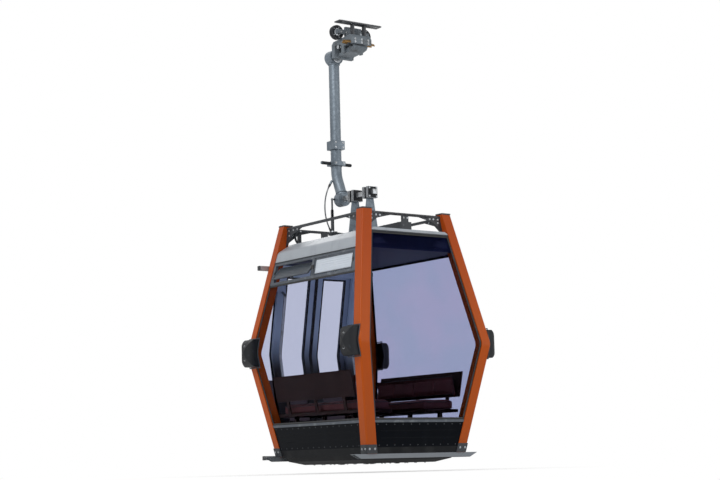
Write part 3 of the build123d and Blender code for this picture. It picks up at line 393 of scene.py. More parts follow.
def block(centre, size, power=0.3):
    """A rounded block: a ball whose sines and cosines are raised to a small power, then stretched
    along its three axes."""
    rise = np.linspace(-np.pi / 2, np.pi / 2, 13)[:, None]
    level = squared(np.cos(rise), power)
    level[[0, -1]] = 0.0
    local = np.concatenate([level[:, None] * oval(2.0, 2.0, power, 24),
                            np.tile(squared(np.sin(rise), power)[:, None], (24, 1))], axis=-1)
    return panel(centre + local * np.asarray(size) / 2, ring=True)


def screws(centres, axes, radius):
    """Cap screws on their washers: a low disc, a smaller domed head and a socket sunk in it."""
    height = radius * 0.75
    washer = [(radius * 1.35, -0.001), (radius * 1.35, radius * 0.18), (radius * 1.28, radius * 0.22),
              (radius, radius * 0.22), (radius, height * 0.85), (radius * 0.86, height),
              (radius * 0.5, height), (radius * 0.46, height * 0.55)]
    return turned(washer, centres, axes, 12)


def spread(*axes):
    """Every place that the numbers for x, for y and for z give together."""
    return np.stack(np.meshgrid(*axes, indexing="ij"), axis=-1).reshape(-1, 3)


def rows(*groups):
    """Cap screws in rows: each group gives numbers for x, y and z, an axis and a radius."""
    return [part for *places, axis, radius in groups for part in screws(spread(*places), axis, radius)]


casting = finish("grip_casting", worn(
    (104, 112, 119), (62, 61, 60), (11.0, 4.0), (0.5, 0.8), (170.0, 4.0), (0.5, 0.2), (0.35, 0.0015)),
    Metallic=0.35)
steel = finish("machined_steel", worn(
    (168, 172, 176), (122, 120, 116), (20.0, 4.0), (0.5, 0.8), (300.0, 2.0), (0.3, 0.15)),
    "steel", Metallic=0.9)
bronze = finish("liner_bronze", worn(
    (148, 112, 62), (104, 82, 54), (60.0, 4.0, (0.2, 1.0, 1.0)), rough=(0.3, 0.25)), "steel", Metallic=0.85)
dress(casting, "grip_body", "grip_jaw")
dress(steel, "suspension_axle", "grip_pin")

turn = np.linspace(0.0, np.pi, 17)
half_turn = np.stack([0 * turn, np.cos(turn), np.sin(turn)], -1)
for end, sign in ENDS:
    reach = np.linspace(0.0, 1.0, 7)
    outer = 0.040 - 0.010 * reach ** 0.7
    spine = np.outer(sign * (GRIP_HALF - 0.004 + reach * TONGUE_LENGTH), (1.0, 0.0, 0.0))[:, None]
    outside = spine + outer[:, None, None] * half_turn
    inside = spine + LINER_BORE * half_turn
    around = np.concatenate([outside, inside[:, ::-1]], axis=1)
    ends = [panel(np.stack([outside[row], inside[row]])) for row in (0, -1)]
    build(f"rope_tongue_{end}", [panel(around, ring=True), *ends], bronze, "grip")

coil = np.linspace(-SPRING_HALF, SPRING_HALF, 641)
wind = coil * 2 * np.pi * SPRING_TURNS / (2 * SPRING_HALF)
helix = np.stack([coil, SPRING_PLACE[0] + SPRING_RADIUS * np.cos(wind),
                  SPRING_PLACE[1] + SPRING_RADIUS * np.sin(wind)], 1)
rod_ends = [(0.020, -0.118), (0.020, -0.109), (0.006, -0.109), (0.006, 0.109), (0.020, 0.109), (0.020, 0.118)]
build("grip_spring", [drawn(oval(2 * SPRING_WIRE, 2 * SPRING_WIRE, count=8), helix, (1.0, 0.0, 0.0)),
                      *turned(rod_ends, (0.0, *SPRING_PLACE), (1, 0, 0), 20)], steel, "grip")
build("grip_screws", rows(
    ((-0.08, 0.0, 0.08), -0.058, (0.012, 0.042), (0, -1, 0), 0.009),
    ((-0.09, 0.09), 0.300, (-0.065, 0.02), (0, 1, 0), 0.010),
    ((-0.15, -0.09, 0.09, 0.15), 0.081, 0.138, (0, -1, 0), 0.008)), steel, "grip")
pin_nut = [(0.030, 0.0), (0.030, 0.020), (0.026, 0.024), (0.014, 0.024), (0.014, 0.030), (0.010, 0.033)]
build("grip_pin_nut", turned(pin_nut, (0.0, 0.516, -0.040), (0, 1, 0), 6), steel, "grip", sharp=25.0)

# Running wheels and friction shoe. Hard nylon wheels with a rubber tyre pressed on, a steel hub
# plate with five screws, and a ribbed friction shoe bolted on top for the station's drive tyres.

WHEEL_X = 0.17
WHEEL_Y = 0.140
WHEEL_Z = 0.138
HUB_SCREWS = 0.053

nylon = finish("wheel_nylon", worn(
    (52, 54, 58), (104, 106, 109), (45.0, 4.0), (0.5, 0.8), rough=(0.4, 0.25)))
rubber = finish("black_rubber", worn(
    (17, 20, 25), (54, 59, 67), (22.0, 5.0), (0.6, 0.9), 500.0, (0.42, 0.25), (0.2, 0.0008), "patches"),
    "plug_black", Specular_IOR_Level=0.25)
dress(nylon, "carrier_wheel_front", "carrier_wheel_rear", "drive_shoe")
tyre = [(0.060, -0.0236), (0.068, -0.0236), (0.0722, -0.021), (0.0738, -0.012), (0.0742, 0.0),
        (0.0738, 0.012), (0.0722, 0.021), (0.068, 0.0236), (0.060, 0.0236)]
hub = [(0.036, -0.0248), (0.040, -0.0232), (0.046, -0.0232), (0.046, 0.0232), (0.040, 0.0232),
       (0.036, 0.0248), (0.030, 0.0248), (0.026, 0.0236)]
spoke = np.arange(5) * 2 * np.pi / 5
ring = np.stack([np.cos(spoke), 0 * spoke, np.sin(spoke)], 1)
for end, sign in ENDS:
    centre = np.array((sign * WHEEL_X, WHEEL_Y, WHEEL_Z))
    build(f"wheel_tyre_{end}", turned(tyre, centre, (0, 1, 0), 64), rubber, f"wheel_{end}")
    hub_screws = [part for out in (1, -1) for part in
                  screws(centre + ring * HUB_SCREWS + (0, out * 0.023, 0), (0, out, 0), 0.0042)]
    build(f"wheel_hub_{end}", turned(hub, centre, (0, 1, 0), 40) + hub_screws, steel, f"wheel_{end}")
shoe_rib = [drawn(oval(0.008, 0.004, 0.6, 8), [(x, -0.0445, 0.2175), (x, 0.0445, 0.2175)], (0, 0, 1))
            for x in np.linspace(-0.24, 0.24, 33)]
build("shoe_ribs", shoe_rib, rubber, "grip")
build("shoe_screws", rows(((-0.2, -0.1, 0.1, 0.2), (-0.03, 0.03), 0.205, (0, 0, -1), 0.006)), steel, "grip")

# Hanger. A hot-dip galvanised tube with the eye and boss welded on, a two-part clamp collar closed
# by bolts, and a step of two bars in ribbed rubber sleeves.

ARM_Y = 0.440
STEP_Z = -1.150
AXLE_Z = -1.530


def paint_zinc(place):
    spangle = place.cells(55.0, out=1).axes()[0]
    streak = place.noise(7.0, 4.0, (1.0, 1.0, 0.2))
    tone = spangle * 0.35 + streak.step(0.4, 0.8) * 0.65
    return {"Base Color": tone.mix(colour(112, 122, 131), colour(74, 84, 94)),
            "Roughness": 0.42 + tone * 0.2, "Bump": (spangle, 0.05, 0.001)}


def weld(centre, normal, radius, wide=0.006):
    """A weld bead: a thin ring round a tube, its thickness rippled along the seam."""
    angle = np.arange(160) * 2 * np.pi / 160
    normal = unit(normal)
    across = unit(np.cross(normal, (0.0, 1.0, 0.0) if abs(normal[1]) < 0.9 else (1.0, 0.0, 0.0)))
    around = np.cos(angle)[:, None] * across + np.sin(angle)[:, None] * np.cross(normal, across)
    path = np.asarray(centre) + radius * around
    tube = oval(2 * wide, 2 * wide, count=8)
    ripple = 1.0 + 0.16 * np.sin(angle * 40)[:, None, None]
    bead = path[:, None] + ripple * (tube[:, :1] * around[:, None] + tube[:, 1:] * normal)
    return panel(np.concatenate([bead, bead[:1]]), ring=True)


zinc = finish("galvanised_steel", paint_zinc, "galvanised", Metallic=0.55)
dress(zinc, "hanger_arm", "hanger_step", "suspension_cheeks")
build("hanger_welds", [
    weld((0, ARM_Y, -0.112), (0, 0, 1), 0.057), weld((0, 0.3585, -1.462), (0, 0.30, 0.95), 0.055),
    weld((0, ARM_Y, STEP_Z + 0.024), (0, 0, 1), 0.057, 0.005),
    weld((0, ARM_Y, STEP_Z - 0.024), (0, 0, 1), 0.057, 0.005)], zinc)
collar_split = drawn(oval(0.004, 0.004, 0.5, 8),
                     [(0, ARM_Y + 0.0665, -0.915), (0, ARM_Y + 0.0665, -1.005)], (0, 1, 0))
build("collar_bolts", rows(
    (0.075, ARM_Y + 0.020, (-0.980, -0.940), (0, 1, 0), 0.007),
    (0.075, ARM_Y - 0.020, (-0.980, -0.940), (0, -1, 0), 0.007),
    ((-0.045, 0.045), ARM_Y - 0.066, (-0.985, -0.935), (0, -1, 0), 0.008),
    ((-0.045, 0.045), ARM_Y + 0.066, (-0.985, -0.935), (0, 1, 0), 0.008)) + [collar_split], steel)


def ribbed(low, high, radius, swell, pitch, count):
    """A profile whose radius swells as a sine of the height, once in each pitch."""
    height = np.linspace(low, high, count)
    return np.stack([radius + swell * np.sin((height - low) * 2 * np.pi / pitch), height], axis=1)


sleeve_ribs = np.concatenate([[(0.014, 0.074)], ribbed(0.076, 0.181, 0.0155, 0.0016, 0.0088, 64),
                              [(0.0145, 0.184), (0.008, 0.1848)]])
build("step_sleeves", turned(sleeve_ribs, [(0, ARM_Y, STEP_Z)] * 2, [(1, 0, 0), (-1, 0, 0)], 20), rubber)
build("step_bolts", rows(
    ((-0.048, 0.048), ARM_Y - 0.068, STEP_Z, (0, -1, 0), 0.009),
    ((-0.048, 0.048), ARM_Y + 0.068, STEP_Z, (0, 1, 0), 0.009)), steel)
eye_cap = [(0.050, 0.0), (0.050, 0.010), (0.044, 0.014), (0.030, 0.014), (0.028, 0.008), (0.014, 0.008)]
build("eye_cap", turned(eye_cap, (0, 0.407, AXLE_Z), (0, 1, 0), 40)
      + screws(0.058 * ring + (0, 0.396, AXLE_Z), (0, 1, 0), 0.006), steel)
build("boss_collar", turned([(0.052, 0.0), (0.060, 0.003), (0.060, 0.007), (0.050, 0.009)],
                            [(0, 0.3825, -0.04), (0, 0.4975, -0.04)], [(0, -1, 0), (0, 1, 0)], 40), steel)

# Suspension. Galvanised cheeks stand on the beam and hold a square axle in stacks of rubber with
# steel plates between the layers, drawn together by long bolts; a gas strut damps the swing.

RUBBER_LAYERS = (-0.014, 0.0, 0.014)
STRUT_X, STRUT_Y = -0.105, 0.380
BEAM_TOP = -1.900

powder = finish("black_powder_coat", worn(
    (38, 42, 47), (92, 96, 101), (25.0, 5.0), (0.62, 0.8), 1100.0, (0.45, 0.25), (0.2, 0.0005)), "black_metal")
dress(rubber, "suspension_dampers")
dress(powder, "roof_ties", "roof_beam", "damper_strut", "door_actuator")
stacks = np.array([side * 0.125 + offset * 0.031 for side in (-1, 1) for offset in (-1, 1)])
layer_rim = np.array([(-1, -1), (1, -1), (1, 1), (-1, 1)]) * 0.0555
plates = [drawn(oval(0.004, 0.006, 0.5, 8), [(x, y, AXLE_Z + z) for x, z in layer_rim], (0, 1, 0), closed=True)
          for y in (stacks[:, None] + np.array(RUBBER_LAYERS)).ravel()]
build("damper_plates", plates, steel)
bolt_x, bolt_z = (-0.042, 0.042), (AXLE_Z - 0.042, AXLE_Z + 0.042)
build("damper_bolts", rows(
    (bolt_x, -0.1795, bolt_z, (0, -1, 0), 0.007), (bolt_x, 0.1795, bolt_z, (0, 1, 0), 0.007)), steel)
build("cheek_bolts", rows(
    ((-0.045, 0.045), (-0.151, -0.099, 0.099, 0.151), BEAM_TOP + 0.016, (0, 0, 1), 0.009)), steel)
bellows = np.concatenate([[(0.019, -1.724), (0.019, -1.717)],
                          ribbed(-1.716, -1.640, 0.0145, 0.0035, 0.0095, 60), [(0.0105, -1.636)]])
build("strut_bellows", turned(bellows, (STRUT_X, STRUT_Y, 0.0), (0, 0, 1), 20), rubber)
strut_ends = [(0.0195, -1.866), (0.0195, -1.858), (0.0178, -1.855)]
strut_screws = (STRUT_X - 0.022, STRUT_X + 0.030), (STRUT_Y - 0.022, STRUT_Y + 0.022), -1.870
build("strut_collars", turned(strut_ends, (STRUT_X, STRUT_Y, 0.0), (0, 0, 1), 24)
      + turned([(0.013, -0.006), (0.014, 0.0), (0.013, 0.006)], (STRUT_X, STRUT_Y, AXLE_Z), (1, 0, 0), 20)
      + rows((*strut_screws, (0, 0, 1), 0.005)), steel)

# Roof frame. Welded steel in black powder coat: square ties, a gusset in each corner bolted through,
# and the beam, with its end plates bolted to the side ties. A crank on a bracket works the lock.

TIE_X, TIE_Y, TIE_Z = 0.4805, 0.6805, -1.828
TIE_HALF = 0.005
GUSSET = 0.010
CONDUIT_Y = -0.6945

side_bolts = np.concatenate([spread((0.300, 0.345, 0.400), TIE_Y - TIE_HALF, TIE_Z - 0.022),
                             spread(0.400, TIE_Y - TIE_HALF, TIE_Z - 0.057)])
end_bolts = np.concatenate([spread(TIE_X - TIE_HALF, (0.450, 0.520, 0.600), TIE_Z - 0.022),
                            spread(TIE_X - TIE_HALF, 0.600, TIE_Z - 0.072)])
corner_signs = spread((-1.0, 1.0), (-1.0, 1.0), 1.0)
gusset_screws = []
for signs in corner_signs:
    gusset_screws += screws(side_bolts * signs, (0, -signs[1], 0), 0.008)
    gusset_screws += screws((side_bolts + (0, GUSSET, 0)) * signs, (0, signs[1], 0), 0.008)
    gusset_screws += screws(end_bolts * signs, (-signs[0], 0, 0), 0.008)
    gusset_screws += screws((end_bolts + (GUSSET, 0, 0)) * signs, (signs[0], 0, 0), 0.008)
build("gusset_bolts", gusset_screws, steel)
build("beam_bolts", rows(
    ((-0.022, 0.022), TIE_Y + 0.012, -1.86, (0, 1, 0), 0.007),
    ((-0.022, 0.022), -TIE_Y - 0.012, -1.86, (0, -1, 0), 0.007),
    ((-0.04, 0.04), (-0.62, -0.40, 0.56, 0.64), BEAM_TOP, (0, 0, 1), 0.009)), steel)
build("crank_pins", turned([(0.010, -0.019), (0.010, 0.019), (0.006, 0.022)],
                           [(-0.3105, 0.668, -1.838), (-0.327, 0.668, -1.966)], (0, -1, 0), 16), steel)
conduit = [(-0.3, CONDUIT_Y, TIE_Z), (0.3, CONDUIT_Y, TIE_Z)]
clips = turned([(0.010, -0.010), (0.011, 0.0), (0.010, 0.010)],
               spread(np.linspace(-0.25, 0.25, 5), CONDUIT_Y, TIE_Z), (1, 0, 0), 12)
build("tie_conduit", [drawn(oval(0.012, 0.012, count=10), conduit, (0, 0, 1))] + clips, plug_plastic)

# Corner posts. Four bent box tubes in glossy orange paint over primer. They carry every wall, the
# roof frame and the floor. Moulded plugs close their tops, and bolted steel shoes their feet.

FLOOR_Z = -4.100
WAIST_Z = -3.070
TOP_Z = -1.800
HALF_LENGTH = 0.780
HALF_WIDTH = 0.975
LOWER_SLOPE = 0.200 / 1.030
UPPER_SLOPE = 0.250 / 1.270
FOLD = 0.031
POST_SIZE = (0.110, 0.100)
SHOE_WALL = 0.004


def lean(z):
    """How far the skin stands in at height z: a straight slope below and above the waist, joined
    within FOLD of it by a parabola."""
    rise = np.asarray(z, float) - WAIST_Z
    bend = ((UPPER_SLOPE + LOWER_SLOPE) * (rise ** 2 + FOLD ** 2) / (4 * FOLD)
            + (UPPER_SLOPE - LOWER_SLOPE) * rise / 2)
    return np.where(np.abs(rise) < FOLD, bend, np.maximum(-LOWER_SLOPE * rise, UPPER_SLOPE * rise))


WALLS = {"tower": ((1, 0, 0), (0, -1, 0), HALF_WIDTH), "door": ((1, 0, 0), (0, 1, 0), HALF_WIDTH),
         "front": ((0, 1, 0), (-1, 0, 0), HALF_LENGTH), "rear": ((0, 1, 0), (1, 0, 0), HALF_LENGTH)}


def on_wall(side, across, z, out=0.0):
    """Points of one wall: so far across it, at a height, and level out from the leaning skin."""
    along, outwards, reach = WALLS[side]
    across, z, out = np.broadcast_arrays(across, z, out)
    return across[..., None] * along + (reach - lean(z) + out)[..., None] * outwards + z[..., None] * (0, 0, 1)


def normal(side, z):
    """The direction square to a wall at a height: outwards, plus up by the slope of its lean."""
    slope = (lean(np.asarray(z) + 1e-4) - lean(np.asarray(z) - 1e-4)) / 2e-4
    return unit(WALLS[side][1] + slope[..., None] * (0, 0, 1))


def laid(profile, side, across, z, out=0.0):
    """A profile drawn along a wall: places across it and heights, of which one may be one number."""
    across, z = np.broadcast_arrays(across, z)
    return drawn(profile, on_wall(side, across, z, out), normal(side, z))


def paint_post(place):
    _, _, z = place.axes()
    peel = place.noise(260.0, 2.0)
    dust = place.noise(3.0, 5.0, (1.0, 1.0, 0.35))
    low = 1.0 - z.step(-4.1, -3.5)
    veil = (dust.step(0.42, 0.75) * 0.35 + low * 0.2) * 0.45
    # Above the waist the orange turns darker and redder: painted shade over the upper posts.
    upper_shade = z.step(WAIST_Z, WAIST_Z + 1.2) * 0.5
    clean = upper_shade.mix(colour(168, 72, 6), colour(148, 56, 20))
    return {"Base Color": veil.mix(clean, colour(124, 70, 38)),
            "Roughness": 0.34 + veil * 0.45, "Bump": (peel, 0.06, 0.0006)}


orange = finish("post_paint", paint_post, Coat_Roughness=0.15, Coat_Weight=0.1, Specular_IOR_Level=0.1)
dress(orange, *(f"corner_post_{end}_{side}" for end, _ in ENDS for side in ("door", "tower")))


def post_axis(z):
    """How far a post's middle stands from the cabin's axis at a height, along and across."""
    return (HALF_LENGTH - lean(z) - POST_SIZE[0] / 2, HALF_WIDTH - lean(z) - POST_SIZE[1] / 2, 1)


caps = [block((x, y, TOP_Z + 0.004), (POST_SIZE[0] + 0.006, POST_SIZE[1] + 0.006, 0.016), power=0.2)
        for x, y, _ in corner_signs * post_axis(TOP_Z)]
build("post_caps", caps, plug_plastic)
shoes = []
shoe_half = np.array(POST_SIZE) / 2 + SHOE_WALL
square = oval(2.0, 2.0, 0.12, 40)
for x, y, _ in corner_signs * post_axis(FLOOR_Z):
    sleeve_rows = []
    for rise in (0.001, 0.085):
        middle = np.array((x, y)) + np.sign((x, y)) * LOWER_SLOPE * rise
        sleeve_rows.append(np.column_stack([middle + square * shoe_half, np.full(40, FLOOR_Z + rise)]))
    shoes.append(panel(np.stack(sleeve_rows), ring=True, caps=True))
build("post_shoes", shoes, powder)
foot_z = FLOOR_Z + 0.045
foot_screws = []
for x, y, _ in corner_signs * post_axis(foot_z):
    out_x, out_y = np.sign((x, y))
    foot_screws += rows(
        (x + out_x * shoe_half[0], (y - 0.026, y + 0.026), foot_z, (out_x, 0, -LOWER_SLOPE), 0.008),
        ((x - 0.030, x + 0.030), y + out_y * shoe_half[1], foot_z, (0, out_y, -LOWER_SLOPE), 0.008))
build("post_screws", foot_screws, steel)

# Roof. A light grey shell pressed from one sheet, with swages along it, riveted to the frame
# along its side bands, with the dust and rain streaks of a season.

ROOF_Z = -1.980
SIDE_EAVE_Z = -2.018
CEILING_Z = -2.180
VENT_Z = -2.400


def paint_roof(place):
    streak = place.noise(9.0, 5.0, (1.0, 1.0, 0.12))
    grime = place.noise(2.2, 4.0)
    dirt = streak.step(0.5, 0.78) * 0.35 + grime.step(0.5, 0.75) * 0.25
    return {"Base Color": dirt.mix(colour(150, 156, 163), colour(102, 107, 113)),
            "Roughness": 0.42 + dirt * 0.3, "Bump": (grime, 0.05, 0.002)}


roof_paint = finish("roof_paint", paint_roof, "roof_grey", Metallic=0.1)
dress(roof_paint, "roof_shell")
swages = [block((sign * 0.245, y, ROOF_Z), (0.29, 0.034, 0.014), power=0.45)
          for sign in (-1, 1) for y in (-0.60, -0.36, -0.12, 0.12, 0.36, 0.60)]
build("roof_swages", swages, roof_paint, sharp=60.0)
rivet = [(0.006, -0.001), (0.006, 0.0008), (0.0045, 0.0026), (0.002, 0.0032)]


def studs(profile, side, across, z, count=10):
    """Turned studs that stand square on a wall, sunk a little into its skin."""
    across, z = np.broadcast_arrays(across, z)
    return turned(profile, on_wall(side, across, z, -0.008), normal(side, z), count)


rivets, drips = [], []
for sides, reach, eave, half, count, lift in (
        (("tower", "door"), HALF_LENGTH - POST_SIZE[0], SIDE_EAVE_Z, 0.42, 9, 0.016),
        (("front", "rear"), HALF_WIDTH - POST_SIZE[1], CEILING_Z, 0.60, 13, 0.030)):
    edge = np.linspace(-1, 1, 12) * (reach - float(lean(eave)) - 0.002)
    for side in sides:
        rivets += studs(rivet, side, np.linspace(-half, half, count), eave + lift)
        drips.append(laid(oval(0.012, 0.010, 0.8, 10), side, edge, eave + 0.004, -0.006))
build("roof_rivets", rivets, roof_paint)
build("roof_drips", drips, powder)

# Ceiling. A navy moulded liner under the roof, whose fascias back the top of the side glass, with a
# frosted lamp strip along its middle and two round loudspeaker grilles.

ROOF_INSIDE = -2.012

liner = finish("ceiling_plastic", worn(
    (16, 25, 56), (24, 35, 70), (3.0,), (), 700.0, (0.5, 0.2), (0.06, 0.0004)), Specular_IOR_Level=0.2)
dress(liner, "ceiling_liner")
build("ceiling_lamp", [block((0, 0, ROOF_INSIDE - 0.012), (0.14, 0.90, 0.03), power=0.35)],
      finish("lamp_diffuser", worn((214, 218, 222), (232, 235, 238), (80.0, 3.0)), "roof_grey"))
speaker = [(0.055, -0.010), (0.062, -0.008), (0.062, 0.0), (0.050, 0.004), (0.044, 0.001), (0.038, 0.004),
           (0.032, 0.001), (0.026, 0.004), (0.020, 0.001), (0.012, 0.004)]
build("ceiling_speakers", turned(speaker, [(0, -0.58, ROOF_INSIDE), (0, 0.58, ROOF_INSIDE)], (0, 0, -1), 32),
      plug_plastic)

# Floor. A pan of coated sheet below with a folded seam and drain plugs, a sandwich slab, and a
# studded rubber mat on the deck behind a ribbed aluminium threshold in the doorway.

PAN_Z = -4.185
THRESHOLD_Y = 0.742
BRUSHED = (240.0, 3.0, (0.02, 1.0, 1.0))


def paint_mat(place):
    stud = 1.0 - place.cells(42.0).step(0.18, 0.3)
    dirt = place.noise(7.0, 5.0)
    return {"Base Color": dirt.step(0.4, 0.75).mix(colour(46, 47, 50), colour(88, 86, 82)),
            "Roughness": 0.75 + dirt * 0.15, "Bump": (stud, 0.6, 0.003)}


pan_paint = finish("pan_coating", worn(
    (14, 16, 19), (40, 41, 42), (4.0, 6.0), (0.45, 0.75), rough=(0.5, 0.25), bump=(0.1, 0.002)), "pan_black",
    Specular_IOR_Level=0.15)
aluminium = finish("anodised_aluminium", worn(
    (182, 187, 191), (138, 144, 148), (6.0, 4.0), (0.45, 0.8), BRUSHED, (0.32, 0.2), (0.08, 0.0004)),
    "aluminium", Metallic=0.7)
dress(pan_paint, "floor_pan")
dress(finish("studded_mat", paint_mat), "floor_deck")
pan_rim = np.array([(x, y, FLOOR_Z - 0.006) for x, y in
                    ((0.566, 0.640), (0.506, 0.700), (-0.506, 0.700), (-0.566, 0.640),
                     (-0.566, -0.640), (-0.506, -0.700), (0.506, -0.700), (0.566, -0.640))])
build("pan_seam", [drawn(oval(0.010, 0.014, 0.7, 10), pan_rim, (0, 0, 1), closed=True)], pan_paint)
build("pan_screws", rows(
    (np.linspace(-0.36, 0.36, 7), (-0.42, 0.42), PAN_Z, (0, 0, -1), 0.008),
    ((-0.36, 0.36), np.linspace(-0.28, 0.28, 5), PAN_Z, (0, 0, -1), 0.008)), steel)
build("pan_plugs", turned([(0.024, 0.0), (0.024, 0.004), (0.018, 0.007), (0.010, 0.007), (0.009, 0.003)],
                          spread((-0.15, 0.15), (-0.25, 0.25), PAN_Z - 0.0001), (0, 0, -1), 24), plug_plastic)
treads = [drawn(oval(0.006, 0.005, 0.7, 8), [(-0.40, y, -4.0225), (0.40, y, -4.0225)], (0, 0, 1))
          for y in np.linspace(0.715, 0.765, 6)]
build("threshold", [block((0, THRESHOLD_Y, -4.0265), (0.81, 0.070, 0.008), power=0.12)] + treads, aluminium)

# Lower panels. Matt black sandwich board under the glass, held by rivets along both edges and
# stiffened by two swages. The sill rails above take the glass.

SILL_Z = -3.790


def paint_board(place):
    _, _, z = place.axes()
    dust = place.noise(5.0, 6.0, (1.0, 1.0, 0.4))
    veil = dust.step(0.5, 0.85) * 0.2 + (1.0 - z.step(-4.08, -3.85)) * 0.08
    return {"Base Color": veil.mix(colour(5, 8, 14), colour(34, 37, 42)),
            "Roughness": 0.3 + veil * 0.45}


board = finish("black_board", paint_board, "black_panel", Specular_IOR_Level=0.04)
dress(board, "lower_panel_tower", "lower_panel_front", "lower_panel_rear")
panel_rivets, swage_lines = [], []
for side, half, count in (("tower", 0.655, 11), ("front", 0.860, 15), ("rear", 0.860, 15)):
    for z in (-3.832, -4.022):
        panel_rivets += studs(rivet, side, np.linspace(-1, 1, count) * (half - lean(z) - 0.02), z)
    for z in (-3.893, -3.960):
        places = np.linspace(-1, 1, 24) * (half - 0.015 - lean(z) - 0.03)
        swage_lines.append(laid(oval(0.014, 0.006, 1.0, 10), side, places, z, -0.0085))
build("panel_rivets", panel_rivets, powder)
build("panel_swages", swage_lines, board)

# Glass. Bent panes of polycarbonate, lilac on the tower side and clearer on the others, pushed into
# rubber channels that hide their edges. The door side's panes have a dark film over the feet.

DARK_FILM_Z = -3.330
GLAZING = {"IOR": 1.01, "Roughness": 0.0, "Transmission_Weight": 1.0}
HAZE = (1.6, 3.0)
CLEAR_PANE = ((211, 214, 229), (217, 220, 232))


def paint_door_glass(place):
    _, _, z = place.axes()
    film = 1.0 - z.step(DARK_FILM_Z - 0.004, DARK_FILM_Z)
    pane = place.noise(*HAZE).mix(colour(*CLEAR_PANE[0]), colour(*CLEAR_PANE[1]))
    return {"Base Color": film.mix(pane, colour(52, 46, 52))}


def rim(profile, side, low, high, left, right, inset=0.0, out=0.0, facing=1.0):
    """A profile drawn round a pane: along its sill, up its right edge, back along its head and down
    its left edge. left and right give the places of its edges at any height."""
    edge_z = np.linspace(low + inset, high - inset, 70)
    run = np.linspace(0.0, 1.0, 14)[:-1]
    near, far_edge = left(edge_z) + inset, right(edge_z) - inset
    across = np.concatenate([near[0] + run * (far_edge[0] - near[0]), far_edge[:-1],
                             far_edge[-1] + run * (near[-1] - far_edge[-1]), near[::-1][:-1]])
    z = np.concatenate([np.full(13, edge_z[0]), edge_z[:-1], np.full(13, edge_z[-1]), edge_z[::-1][:-1]])
    return drawn(profile, on_wall(side, across, z, out), facing * normal(side, z), closed=True)


def leaning(place):
    """An edge that follows the skin from its place at the waist."""
    return lambda z: place - np.sign(place) * lean(z)


def upright(place):
    """An edge that stays upright."""
    return lambda z: np.full(np.shape(z), float(place))


glass = finish("tinted_glazing", worn(
    (174, 181, 207), (184, 182, 209), HAZE, (0.35, 0.65), rough=()), **GLAZING)
clear = finish("clear_glazing", worn(*CLEAR_PANE, HAZE, rough=()), **GLAZING)
door_glass = finish("door_glazing", paint_door_glass, **GLAZING)
seal = finish("seal_rubber", worn(
    (16, 17, 20), (48, 50, 54), (12.0, 4.0), (0.5, 0.8), 800.0, (0.5, 0.2), (0.15, 0.0006), "patches"),
    "bumper_rubber")
dress(glass, "window_tower")
dress(clear, "window_front", "window_rear")
dress(door_glass, "door_flank_windows", "door_window_front", "door_window_rear")
for side, high, half in (("tower", SIDE_EAVE_Z, 0.670), ("front", VENT_Z, 0.875), ("rear", CEILING_Z, 0.875)):
    channel = rim(oval(0.020, 0.009, 0.6, 12), side, SILL_Z, high, leaning(-half), leaning(half), 0.010, -0.013)
    build(f"window_seal_{side}", [channel], seal)

# Vents. A painted frame across the front end with two pivoting flaps of ribbed sheet in thin
# frames. Each has a pull knob; the one on the door side stands open on its pivots, its sheet a darker copy that
# paints the shade of the open flap.

PIVOT = (-0.603457, -2.290)
FLAP_OPEN = math.radians(32.0)
FLAP_PLACES = (0.026, 0.664)
FLAP_HEIGHTS = (-2.366, -2.214)


def sheet_paint(light, dark, solid):
    """Ribbed sheet of two cloudy colours, a little see-through, by a solid share + a tenth of a haze."""

    def paint(place):
        haze = place.noise(14.0, 4.0)
        return {"Base Color": haze.mix(colour(*light), colour(*dark)),
                "Alpha": solid + haze * 0.1, "Roughness": 0.25 + haze * 0.2}

    return paint


def tilt(part, angle):
    """Turns a panel's points about the flap's pivots: x and z mixed by the angle's cosine and sine."""
    points, faces = part
    x, z = points[:, 0] - PIVOT[0], points[:, 2] - PIVOT[1]
    swung = np.stack([PIVOT[0] + x * math.cos(angle) + z * math.sin(angle), points[:, 1],
                      PIVOT[1] + z * math.cos(angle) - x * math.sin(angle)], axis=1)
    return swung, faces


vent_paint = finish("vent_frame_paint", worn(
    (74, 80, 88), (108, 114, 120), (18.0, 4.0), (0.5, 0.8), 900.0, (0.45, 0.2), (0.15, 0.0005)),
    "dark_frame", Metallic=0.2)
dress(vent_paint, "vent_frame", "sill_rails")
knob = [(0.012, 0.0), (0.012, 0.004), (0.006, 0.007), (0.006, 0.016), (0.012, 0.020), (0.012, 0.024),
        (0.006, 0.027)]
# The open flap's sheet is a darker copy of the milky one: painted shade where the flap stands open.
shaded_copy = finish("painted_shade_flap_sheet", sheet_paint((52, 60, 68), (78, 86, 94), 0.78), "vent_glazing")
milky = finish("vent_flap_sheet", sheet_paint((212, 219, 228), (190, 199, 209), 0.80), "vent_glazing")
for body, sign, angle, sheet in (("door_side", 1.0, FLAP_OPEN, shaded_copy), ("tower_side", -1.0, 0.0, milky)):
    dress(sheet, f"vent_flap_{body}")
    near, far_end = sorted((sign * (FLAP_PLACES[0] + 0.004), sign * (FLAP_PLACES[1] - 0.004)))
    low = np.array([FLAP_HEIGHTS[0] + 0.016])
    trim = [rim(oval(0.012, 0.013, 0.5, 10), "front", *FLAP_HEIGHTS, upright(near), upright(far_end),
                0.003, -0.0165)]
    trim += turned(knob, on_wall("front", (near + far_end) / 2, low, -0.028), -normal("front", low), 16)
    build(f"flap_trim_{body}", [tilt(part, angle) for part in trim], vent_paint, f"flap_{body}")
    span = np.linspace(near + 0.02, far_end - 0.02, 12)
    lines = [tilt(laid(oval(0.009, 0.005, 1.0, 8), "front", span, z, -0.0180), angle)
             for z in np.linspace(-2.345, -2.235, 6)]
    build(f"flap_ribs_{body}", lines, sheet, f"flap_{body}")
hinge_y = np.array([FLAP_PLACES[0] - 0.012, FLAP_PLACES[1] + 0.014])
